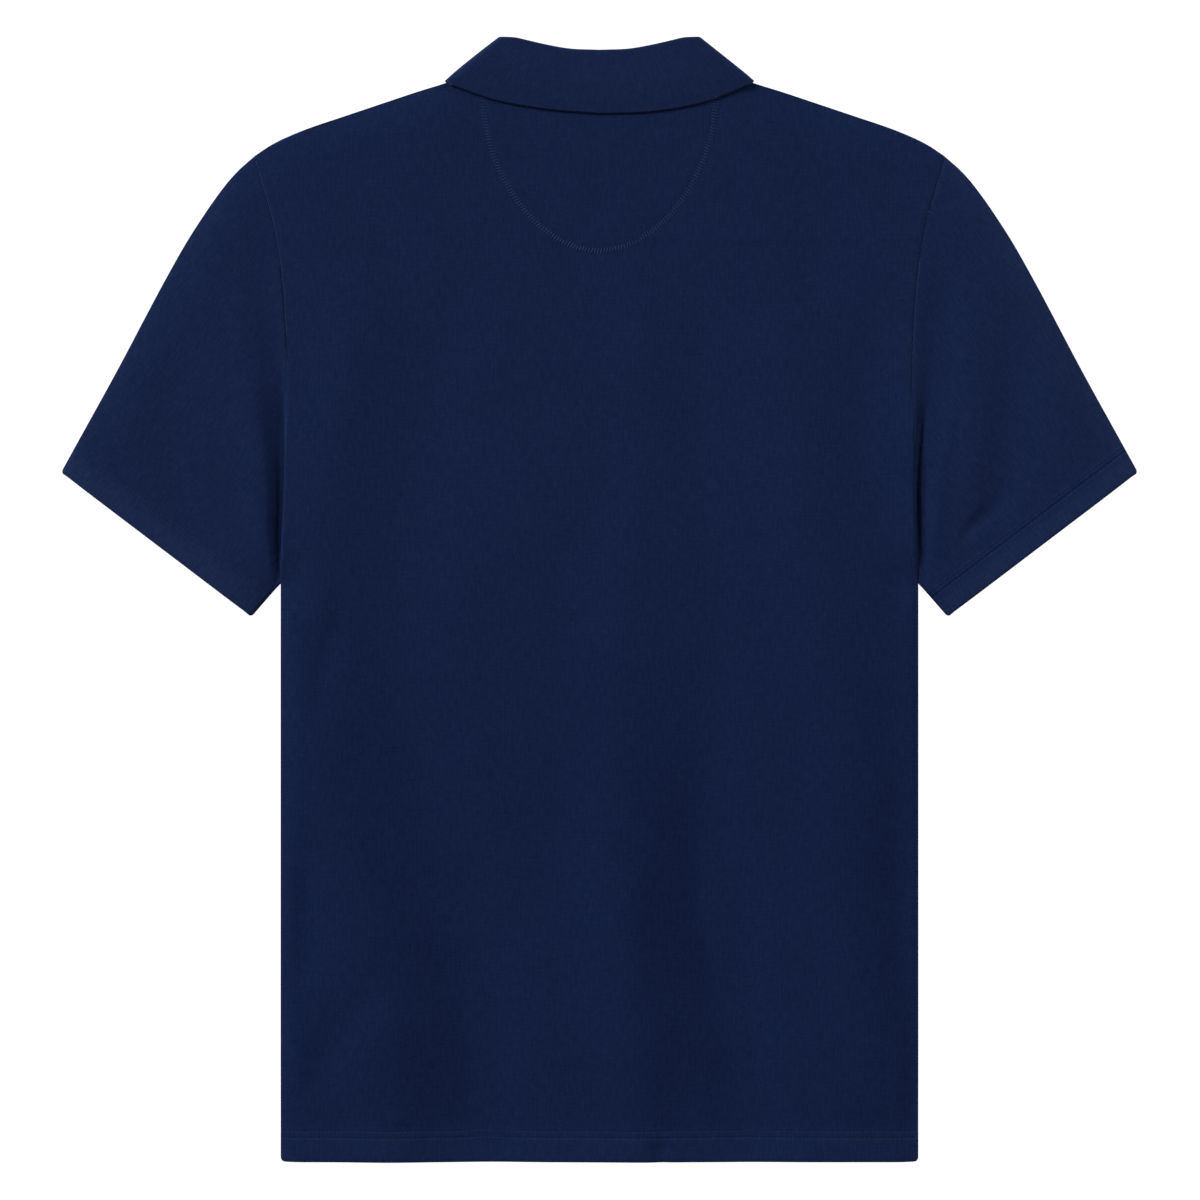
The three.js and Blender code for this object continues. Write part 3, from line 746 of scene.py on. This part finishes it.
STAND = {"back": CLOTH / 2 + FRONT_LIFT + CLOTH + LAYER_GAP + PATCH_ROOM, "front": CLOTH / 2 + FRONT_LIFT}
LEAF = {"back": STAND["back"] + COLLAR_CLOTH - 0.1, "front": COLLAR_CLOTH / 2}
FOLD_RADIUS = {"back": 1.2, "front": 1.05}
LEAF_PUFF = 0.7
LEAF_PUFF_SHAPE = 1.2

# Columns round the back, the front and the open end, and rows up the stand, over the fold and down the leaf
COLLAR_BACK_COLUMNS = 44
COLLAR_FRONT_COLUMNS = 38
COLLAR_END_COLUMNS = 7
COLLAR_TURN = np.arange(75, -90, -15)
STAND_ROWS = 9
FOLD_BENDS = np.linspace(-75, 75, 11)
LEAF_ROWS = (*np.linspace(0, 0.9, 22), 0.93, 0.955, 0.975, 0.99, 1.0)
LEAF_THINS_FROM = 0.8


def lengths_to(line):
    """Distance along a line of points from its start to each point."""
    return np.concatenate([[0], np.cumsum(np.linalg.norm(np.diff(line, axis=0), axis=1))])


def make_collar(material):
    """One piece: a stand up from the neck seam, a fold, and a leaf down over the outside."""
    back_t = np.linspace(0, 1, COLLAR_BACK_COLUMNS)
    front_t = np.linspace(1, 0, COLLAR_FRONT_COLUMNS)
    lines = {
        "seam": (curve_through(BACK_NECK), curve_through(FRONT_NECK)),
        "fold": (curve_through(BACK_FOLD), curve_through(FRONT_FOLD)),
        "edge": (curve_through(BACK_EDGE), curve_through(FRONT_EDGE)),
    }
    turning = np.radians(COLLAR_TURN)
    end_t = np.linspace(0, 1, COLLAR_END_COLUMNS)[1:]
    half = {}
    for part, (back, front) in lines.items():
        last = front(0)
        ending = last + end_t[:, None] * (np.array(COLLAR_END[part]) - last)
        side_point = np.repeat(back(1)[None], len(turning), 0)
        half[part] = np.vstack([back(back_t), side_point, front(front_t), ending])
    angles = np.concatenate([
        np.full(len(back_t), np.pi / 2), turning, np.full(len(front_t) + len(end_t), -np.pi / 2),
    ])
    blend = (1 + np.sin(angles)) / 2
    outward = CREASE_OUTWARD * np.cos(angles)[:, None]
    outward[:, 2] = np.sin(angles)

    def layer(places, heights, slant=CREASE_OUTWARD[:2]):
        """Places at the heights of the back and front layers. The turn between goes out along slant."""
        radius = (heights["back"] - heights["front"]) / 2
        middle = (heights["back"] + heights["front"]) / 2
        base = with_height(places, np.full(len(places), middle))
        turn = np.column_stack([np.outer(np.cos(angles), slant), np.sin(angles)])
        return base + turn * radius

    radius = (FOLD_RADIUS["front"] + blend * (FOLD_RADIUS["back"] - FOLD_RADIUS["front"]))[:, None]
    fold_heights = {
        "back": STAND["back"] + FOLD_RADIUS["back"],
        "front": (STAND["front"] + LEAF["front"]) / 2,
    }
    seam = layer(half["seam"], STAND)
    fold = layer(half["fold"], fold_heights, FOLD_SLANT)
    edge = layer(half["edge"], LEAF, EDGE_SLANT)

    def way(places):
        """Level direction from the fold to each of these places."""
        down = with_height(places - half["fold"], np.zeros(len(places)))
        return down / np.linalg.norm(down, axis=1)[:, None]

    down_stand, down_leaf = way(half["seam"]), way(half["edge"])
    seam = seam - SEAM_GAP * down_stand
    stand_top = fold + radius * down_stand - radius * outward
    leaf_top = fold + radius * down_leaf + radius * outward
    sections = [seam + share * (stand_top - seam) for share in np.linspace(0, 1, STAND_ROWS)]
    for bend in np.radians(FOLD_BENDS):
        down = down_stand if bend < 0 else down_leaf
        sections.append(fold + radius * (1 - math.cos(bend)) * down + radius * math.sin(bend) * outward)
    puff_weight = np.clip(blend * 2 - 1, 0, 1)[:, None]
    leaf_start = len(sections)
    for share in LEAF_ROWS:
        puff = LEAF_PUFF * math.sin(math.pi * share) ** LEAF_PUFF_SHAPE * puff_weight
        sections.append(leaf_top + share * (edge - leaf_top) + puff * outward)
    grid = np.stack(sections, axis=1)
    other = grid[:0:-1].copy()
    other[..., 0] *= -1
    grid = np.concatenate([other, grid])
    leaf_share = np.concatenate([np.zeros(leaf_start), LEAF_ROWS])
    reach = np.clip(grid[..., 0] / BACK_EDGE[-1][0], -1, 1)
    grid[..., 1] -= LEAF_SWAY * np.sin(math.pi * reach) * leaf_share
    thick = COLLAR_CLOTH - (COLLAR_CLOTH - LEAF_EDGE_CLOTH) * smooth(leaf_share, LEAF_THINS_FROM, 1)
    along = lengths_to(grid[:, leaf_start + 4])
    across = lengths_to(grid[len(other)])
    flat = np.stack(np.meshgrid(along, across, indexing="ij"), -1)
    return cloth("polo_collar", grid, thick, material, COLLAR_TONE, flat=flat)


# ---------------------------------------------------------------- hidden pieces

PATCH_COLUMNS = 61
PATCH_ROWS = 26
PLACKET_COLUMNS = 15
PLACKET_ROWS = 60
BOX_HALF_WIDTH = 12.5
BOX_RISE = 4
BOX_DIP = 0.15
BOX_DIP_WIDTH = 0.8


def make_patch(material):
    """The half-moon inside the back of the neck."""
    neck_at = curve_through(BACK_NECK)
    angle = np.linspace(math.pi, 0, PATCH_COLUMNS)
    rim_x = patch_high[0] * np.cos(angle)
    rim_y = PATCH_CENTRE_Y - (PATCH_CENTRE_Y - patch_low[1]) * np.sin(angle)
    neck = neck_at(np.abs(rim_x) / NECK_SIDE[0])
    shares = np.linspace(0, 1, PATCH_ROWS)[None, :]
    y = rim_y[:, None] * (1 - shares) + (neck[:, 1] - SEAM_GAP)[:, None] * shares
    x = np.broadcast_to(rim_x[:, None], y.shape)
    return cloth("polo_neck_patch", np.stack([x, y, upper_z(x, y) - CLOTH - SEAM_GAP], -1), CLOTH, material)


def make_placket(name, rise, material):
    """A strip of the placket, a little sunk along the box where it is sewn down."""
    x = np.linspace(placket_low[0], placket_high[0], PLACKET_COLUMNS)[:, None]
    y = np.linspace(placket_low[1], placket_high[1], PLACKET_ROWS)[None, :]
    x, y = np.broadcast_arrays(x, y)
    box_edge = np.minimum(np.abs(np.abs(x) - BOX_HALF_WIDTH), np.abs(y - placket_low[1] - BOX_RISE))
    sunk = BOX_DIP * np.exp(-((box_edge / BOX_DIP_WIDTH) ** 2))
    return cloth(name, np.stack([x, y, lower_z(x, y) + rise + sunk], -1), CLOTH, material)


# ---------------------------------------------------------------- materials

# The yarn's flecks: scale of the noise along X, Y and Z, its detail and roughness, and its share
YARN_NOISE = {
    "speck": ((1100, 800, 900), 2.0, 0.7, 0.25),
    "streak": ((640, 120, 400), 3.0, 0.6, 0.4),
    "cross": ((150, 620, 300), 2.0, 0.6, 0.25),
    "cloud": ((46, 30, 30), 4.0, 0.55, 0.1),
}

# Share of the lengthwise wales, the crosswise courses and the flecks in the height of the knit
WALE_SHARE = 0.4
COURSE_SHARE = 0.25
FLECK_SHARE = 0.5

FLECK_RANGE = (0.36, 0.64)
ROUGH_RANGE = (0.3, 0.7)
ROUGHNESS = (0.95, 0.82)
KNIT_BUMP = 0.35
KNIT_DEPTH = 0.0002
# Powers of the tone for red, green and blue, so that painted shade and light change the reds most.
TONE_POWERS = (1.6, 1.15, 0.75)


def socket(tree, name, way, kind, default=None):
    """Adds a named input or output to a node group."""
    made = tree.interface.new_socket(name, in_out=way, socket_type=kind)
    if default is not None:
        made.default_value = default


class Nodes:
    """Short ways to add and join the nodes of one tree."""

    def __init__(self, tree):
        self.tree = tree

    def add(self, kind, inputs=None, **settings):
        node = self.tree.nodes.new(kind)
        for key, value in settings.items():
            setattr(node, key, value)
        self.put(node, inputs or {})
        return node

    def put(self, node, inputs):
        for key, value in inputs.items():
            if isinstance(value, bpy.types.NodeSocket):
                self.tree.links.new(value, node.inputs[key])
            else:
                node.inputs[key].default_value = value

    def maths(self, operation, first, second, third=None):
        values = {0: first, 1: second}
        if third is not None:
            values[2] = third
        return self.add("ShaderNodeMath", values, operation=operation).outputs[0]

    def mix(self, share, dark, light):
        return self.add("ShaderNodeMix", {0: share, 6: dark, 7: light}, data_type="RGBA").outputs[2]


def new_material(name):
    """A material with its node helper and its main shader."""
    material = bpy.data.materials.new(name)
    material.use_nodes = True
    return material, Nodes(material.node_tree), material.node_tree.nodes["Principled BSDF"]


def make_jersey_group():
    """Fine jersey: flecked yarn that runs in lengthwise wales. Puts out a fleck and a height, each 0 to 1."""
    tree = bpy.data.node_groups.new("jersey", "ShaderNodeTree")
    socket(tree, "Vector", "INPUT", "NodeSocketVector")
    socket(tree, "Fleck", "OUTPUT", "NodeSocketFloat")
    socket(tree, "Height", "OUTPUT", "NodeSocketFloat")
    n = Nodes(tree)
    vector = n.add("NodeGroupInput").outputs["Vector"]

    def ribs(direction, scale, distortion):
        """Bands of stitches in one direction."""
        values = {
            "Vector": vector, "Scale": scale, "Distortion": distortion, "Detail": 1.0, "Detail Scale": 2.0,
        }
        return n.add("ShaderNodeTexWave", values, wave_type="BANDS", bands_direction=direction).outputs[1]

    fleck = 0.0
    for scale, detail, roughness, share in YARN_NOISE.values():
        place = n.add("ShaderNodeMapping", {"Vector": vector, "Scale": scale}).outputs[0]
        values = {"Vector": place, "Scale": 1.0, "Detail": detail, "Roughness": roughness}
        fleck = n.maths("MULTIPLY_ADD", n.add("ShaderNodeTexNoise", values).outputs[0], share, fleck)
    courses = n.maths("MULTIPLY", ribs("Y", 230.0, 1.2), COURSE_SHARE)
    height = n.maths("MULTIPLY_ADD", ribs("X", 170.0, 1.6), WALE_SHARE, courses)
    height = n.maths("MULTIPLY_ADD", fleck, FLECK_SHARE, height)
    n.add("NodeGroupOutput", {"Fleck": fleck, "Height": height})


def cloth_material(name, dark, light):
    """Dyed jersey. The tone of each point darkens or lightens it with painted shade and painted light, most
    in its reds and least in its blues.
    """
    material, n, shader = new_material(name)
    vector = n.add("ShaderNodeUVMap", uv_map="cloth").outputs[0]
    jersey = n.add("ShaderNodeGroup", node_tree=bpy.data.node_groups["jersey"])
    n.put(jersey, {"Vector": vector})
    fleck, height = jersey.outputs["Fleck"], jersey.outputs["Height"]
    flecked = n.add("ShaderNodeMapRange", {0: fleck, 1: FLECK_RANGE[0], 2: FLECK_RANGE[1]}).outputs[0]
    # Painted light and shade, read from the tone attribute.
    tone_and_painted_light = n.add("ShaderNodeAttribute", attribute_name="tone_and_painted_light").outputs["Fac"]
    tints = {axis: n.maths("POWER", tone_and_painted_light, power) for axis, power in enumerate(TONE_POWERS)}
    tint = n.add("ShaderNodeCombineXYZ", tints).outputs[0]
    colour = n.add("ShaderNodeVectorMath", {0: n.mix(flecked, dark, light), 1: tint}, operation="MULTIPLY")
    ranges = dict(enumerate((*ROUGH_RANGE, *ROUGHNESS), 1))
    rough = n.add("ShaderNodeMapRange", {0: fleck, **ranges})
    knit = n.add("ShaderNodeBump", {"Strength": KNIT_BUMP, "Distance": KNIT_DEPTH, "Height": height})
    n.put(shader, {
        "Base Color": colour.outputs[0], "Roughness": rough.outputs[0], "Normal": knit.outputs[0],
        "Specular IOR Level": 0.03, "Sheen Weight": 0.10, "Sheen Roughness": 0.4,
        "Sheen Tint": (0.34, 0.49, 1.0, 1),
    })
    return material


def thread_material(name, dark, light):
    """Sewing thread, a little uneven in its dye."""
    material, n, shader = new_material(name)
    place = n.add("ShaderNodeTexCoord").outputs["Object"]
    noise = n.add("ShaderNodeTexNoise", {"Vector": place, "Scale": 900.0, "Detail": 2.0}).outputs[0]
    colour = n.mix(noise, dark, light)
    n.put(shader, {"Base Color": colour, "Roughness": 0.6, "Specular IOR Level": 0.15})
    return material


def button_material():
    """Dyed button with a faint swirl."""
    material, n, shader = new_material("dyed_button")
    place = n.add("ShaderNodeTexCoord").outputs["Object"]
    values = {"Vector": place, "Scale": 260.0, "Detail": 4.0, "Distortion": 1.5}
    swirl = n.add("ShaderNodeTexNoise", values).outputs[0]
    colour = n.mix(swirl, (0.004, 0.006, 0.02, 1), (0.012, 0.02, 0.05, 1))
    n.put(shader, {"Base Color": colour, "Roughness": 0.3})
    return material


# ---------------------------------------------------------------- stitches

PATH_SPACING = 3.0
SIDE_MARGIN = 2
CUFF_MARGINS = (2.5, 3.5)
MOON_REACH = np.radians((-4, 184))
MOON_POINTS = 120
MOON_THREAD_RISE = 0.15


def make_stitch_tree():
    """Thread along a path: a rounded stitch at each step, along it or turned across it."""
    tree = bpy.data.node_groups.new("stitches", "GeometryNodeTree")
    socket(tree, "Geometry", "INPUT", "NodeSocketGeometry")
    socket(tree, "Step", "INPUT", "NodeSocketFloat", 0.003)
    socket(tree, "Length", "INPUT", "NodeSocketFloat", 0.0024)
    socket(tree, "Width", "INPUT", "NodeSocketFloat", 0.0004)
    socket(tree, "Turn", "INPUT", "NodeSocketFloat", 0.0)
    socket(tree, "Unevenness", "INPUT", "NodeSocketFloat", 0.08)
    socket(tree, "Seed", "INPUT", "NodeSocketInt", 1)
    socket(tree, "Material", "INPUT", "NodeSocketMaterial")
    socket(tree, "Geometry", "OUTPUT", "NodeSocketGeometry")
    n = Nodes(tree)
    start = n.add("NodeGroupInput").outputs
    curve = n.add("GeometryNodeMeshToCurve", {"Mesh": start["Geometry"]}).outputs[0]
    steps = n.add(
        "GeometryNodeResampleCurve", {"Curve": curve, "Length": start["Step"]}, mode="LENGTH",
    ).outputs[0]
    bead = n.add("GeometryNodeMeshUVSphere", {"Segments": 8, "Rings": 6, "Radius": 0.5}).outputs[0]
    width = start["Width"]
    thin = n.add("ShaderNodeCombineXYZ", {0: start["Length"], 1: width, 2: width}).outputs[0]
    stitch = n.add("GeometryNodeTransform", {"Geometry": bead, "Scale": thin}).outputs[0]
    tangent = n.add("GeometryNodeInputTangent").outputs[0]
    along = n.add(
        "FunctionNodeAlignRotationToVector", {"Vector": tangent}, axis="X", pivot_axis="Z",
    ).outputs[0]
    most = start["Unevenness"]
    least = n.maths("MULTIPLY", most, -1.0)
    sway = n.add("FunctionNodeRandomValue", {2: least, 3: most, "Seed": start["Seed"]}, data_type="FLOAT")
    spin = n.maths("ADD", start["Turn"], sway.outputs[1])
    turn = n.add("ShaderNodeCombineXYZ", {2: spin}).outputs[0]
    turn = n.add("FunctionNodeEulerToRotation", {0: turn}).outputs[0]
    facing = n.add(
        "FunctionNodeRotateRotation", {"Rotation": along, "Rotate By": turn}, rotation_space="LOCAL",
    ).outputs[0]
    row = n.add(
        "GeometryNodeInstanceOnPoints", {"Points": steps, "Instance": stitch, "Rotation": facing},
    ).outputs[0]
    solid = n.add("GeometryNodeRealizeInstances", {"Geometry": row}).outputs[0]
    done = n.add("GeometryNodeSetMaterial", {"Geometry": solid, "Material": start["Material"]}).outputs[0]
    n.add("NodeGroupOutput", {"Geometry": done})
    return tree


def stitch_rows(name, paths, material, tree, **sizes):
    """Runs the stitch tree along paths in millimetres and keeps the result as a plain mesh."""
    vertices = np.vstack(paths) * MM
    edges, first = [], 0
    for path in paths:
        edges += [(first + i, first + i + 1) for i in range(len(path) - 1)]
        first += len(path)
    guide_mesh = bpy.data.meshes.new(name + "_guide")
    guide_mesh.from_pydata(vertices.tolist(), edges, [])
    guide = bpy.data.objects.new(name + "_guide", guide_mesh)
    bpy.context.scene.collection.objects.link(guide)
    modifier = guide.modifiers.new("stitches", "NODES")
    modifier.node_group = tree
    sockets = {item.name: item.identifier for item in tree.interface.items_tree if item.in_out == "INPUT"}
    for label, value in {**sizes, "Material": material}.items():
        modifier[sockets[label]] = value
    evaluated = guide.evaluated_get(bpy.context.evaluated_depsgraph_get())
    mesh = bpy.data.meshes.new_from_object(evaluated)
    mesh.name = name
    bpy.data.objects.remove(guide)
    mesh.polygons.foreach_set("use_smooth", np.ones(len(mesh.polygons), dtype=bool))
    piece = bpy.data.objects.new(name, mesh)
    bpy.context.scene.collection.objects.link(piece)
    return piece


def on_upper(plan, above, sleeve=False):
    """Places in plan brought to a height above the middle of the upper layer."""
    plan = np.asarray(plan, float)
    return with_height(plan, upper_z(plan[:, 0], plan[:, 1], sleeve) + above)


def straight(start, end):
    """Evenly spaced places from start to end."""
    start, end = np.array(start, float), np.array(end, float)
    count = max(2, int(np.linalg.norm(end - start) / PATH_SPACING))
    return start + np.linspace(0, 1, count)[:, None] * (end - start)


# ---------------------------------------------------------------- the shirt

NAVY_DARK = (0.0036, 0.0082, 0.0340, 1)
NAVY_LIGHT = (0.0072, 0.0145, 0.0475, 1)
# A lighter copy of the jersey for the collar: painted light where the raised collar catches the light.
COLLAR_DARK = (0.0048, 0.0100, 0.0385, 1)
COLLAR_LIGHT = (0.0090, 0.0170, 0.0525, 1)
THREAD_DARK = (0.006, 0.012, 0.042, 1)
THREAD_LIGHT = (0.009, 0.017, 0.054, 1)
BRIGHT_THREAD_DARK = (0.010, 0.019, 0.060, 1)
BRIGHT_THREAD_LIGHT = (0.016, 0.028, 0.079, 1)

SIDES = (("left", -1), ("right", 1))

make_jersey_group()
jersey = cloth_material("navy_jersey", NAVY_DARK, NAVY_LIGHT)
painted_light_collar_jersey = cloth_material("navy_collar_jersey", COLLAR_DARK, COLLAR_LIGHT)
thread = thread_material("navy_thread", THREAD_DARK, THREAD_LIGHT)
bright_thread = thread_material("light_navy_thread", BRIGHT_THREAD_DARK, BRIGHT_THREAD_LIGHT)

back = make_back(jersey)
front = make_front(jersey)
sleeves = {side: make_sleeve(f"polo_sleeve_{name}", side, jersey) for name, side in SIDES}
collar = make_collar(painted_light_collar_jersey)
patch = make_patch(jersey)
over = make_placket("polo_placket_over", 0.0, jersey)
under = make_placket("polo_placket_under", CLOTH + SEAM_GAP, jersey)

tree = make_stitch_tree()
hem_surface = (CLOTH + HEM_PLY) / 2


def hem_paths(above):
    """The rows of stitches along the hem of the back."""
    paths = []
    for row in BODY_HEM_ROWS:
        y = HEM_Y + row
        paths.append(on_upper(straight((-HALF_CHEST + SIDE_MARGIN, y), (HALF_CHEST - SIDE_MARGIN, y)), above))
    return paths


def cuff_paths(side, above):
    """The rows of stitches along a cuff, stopped short of the folds at both ends."""
    inner, outer = np.array(CUFF_INNER), np.array(CUFF_OUTER)
    way = (outer - inner) / np.linalg.norm(outer - inner)
    inward = np.array([-way[1], way[0]])
    paths = []
    for row in SLEEVE_HEM_ROWS:
        first = inner + row * inward + CUFF_MARGINS[0] * way
        last = outer + row * inward - CUFF_MARGINS[1] * way
        line = straight(first, last)
        line[:, 0] *= side
        paths.append(on_upper(line, above, True))
    return paths


def moon_path(above):
    """The line of stitches round the half-moon."""
    angle = np.linspace(*MOON_REACH, MOON_POINTS)
    turns = np.stack([np.cos(angle), np.sin(angle)])
    across, down = np.sign(turns) * np.abs(turns) ** (2 / MOON_ROUNDNESS)
    plan = np.stack([PATCH_HALF_WIDTH * across, PATCH_CENTRE_Y - PATCH_DEPTH * down], -1)
    return on_upper(plan, above)


hem_thread = stitch_rows(
    "hem_stitches_back", hem_paths(hem_surface), thread, tree,
    Step=0.0029, Length=0.0025, Width=0.00042, Turn=0.0, Unevenness=0.06, Seed=3,
)
moon_thread = stitch_rows(
    "half_moon_stitches", [moon_path(CLOTH / 2 + MOON_THREAD_RISE)], bright_thread, tree,
    Step=0.00207, Length=0.0048, Width=0.00058, Turn=math.pi / 2 - 0.12, Unevenness=0.12, Seed=5,
)
cuff_threads = {
    side: stitch_rows(
        f"cuff_stitches_{name}", cuff_paths(side, hem_surface), thread, tree,
        Step=0.0028, Length=0.0024, Width=0.00038, Turn=0.0, Unevenness=0.06, Seed=7 + side,
    )
    for name, side in SIDES
}

stitched = {
    back: [hem_thread, moon_thread],
    sleeves[-1]: [cuff_threads[-1]],
    sleeves[1]: [cuff_threads[1]],
}
replaced = {
    back: "back_panel", front: "front_panel", sleeves[-1]: "sleeve_left", sleeves[1]: "sleeve_right",
    collar: "collar", patch: "neck_patch", over: "placket_over", under: "placket_under",
}

for piece, node in replaced.items():
    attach(piece, "root")
    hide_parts(node)
for threads in stitched.values():
    for piece in threads:
        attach(piece, "root")

buttons = button_material()
for name in ("button_upper", "button_lower"):
    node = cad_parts[name]
    node.data.materials.clear()
    node.data.materials.append(buttons)

# ---------------------------------------------------------------- floor, light and camera

TABLE_SIZE = 30.0
TABLE_Z = -0.0004
WORLD_STRENGTH = 0.34
FRAME_WIDTH = 0.8274
FRAME_CENTRE = (0.00035, -0.0007)
CLOTH_LEVEL = 0.004
CAMERA_HEIGHT = 2.4
SENSOR = 36.0

floor_mesh = bpy.data.meshes.new("floor")
floor_mesh.from_pydata(
    [(x * TABLE_SIZE / 2, y * TABLE_SIZE / 2, TABLE_Z) for x, y in ((-1, -1), (1, -1), (1, 1), (-1, 1))],
    [], [(0, 1, 2, 3)],
)
floor = bpy.data.objects.new("floor", floor_mesh)
bpy.context.scene.collection.objects.link(floor)
floor_material, floor_nodes, floor_shader = new_material("pale_table")
floor_nodes.put(floor_shader, {
    "Base Color": (0.1, 0.1, 0.1, 1), "Roughness": 0.9, "Specular IOR Level": 0.1,
    "Emission Color": (1, 1, 1, 1), "Emission Strength": 1.0,
})
floor_mesh.materials.append(floor_material)

world = bpy.data.worlds.new("studio")
bpy.context.scene.world = world
world.use_nodes = True
Nodes(world.node_tree).put(world.node_tree.nodes["Background"], {0: (1, 1, 1, 1), 1: WORLD_STRENGTH})


def sun(name, towards, strength, softness):
    """Parallel soft light that shines from the given direction."""
    light = bpy.data.lights.new(name, "SUN")
    light.energy = strength
    light.angle = math.radians(softness)
    lamp = bpy.data.objects.new(name, light)
    lamp.rotation_mode = "QUATERNION"
    lamp.rotation_quaternion = Vector(towards).to_track_quat("Z", "Y")
    bpy.context.scene.collection.objects.link(lamp)


sun("key_light", (-0.74, 0.50, 0.46), 4.9, 26)
sun("fill_light", (0.84, 0.34, 0.42), 1.3, 30)

camera_data = bpy.data.cameras.new("camera")
camera_data.sensor_width = SENSOR
camera_data.lens = SENSOR * CAMERA_HEIGHT / FRAME_WIDTH
camera = bpy.data.objects.new("camera", camera_data)
camera.location = (*FRAME_CENTRE, CAMERA_HEIGHT + CLOTH_LEVEL)
bpy.context.scene.collection.objects.link(camera)
bpy.context.scene.camera = camera
bpy.context.scene.view_settings.view_transform = "Standard"
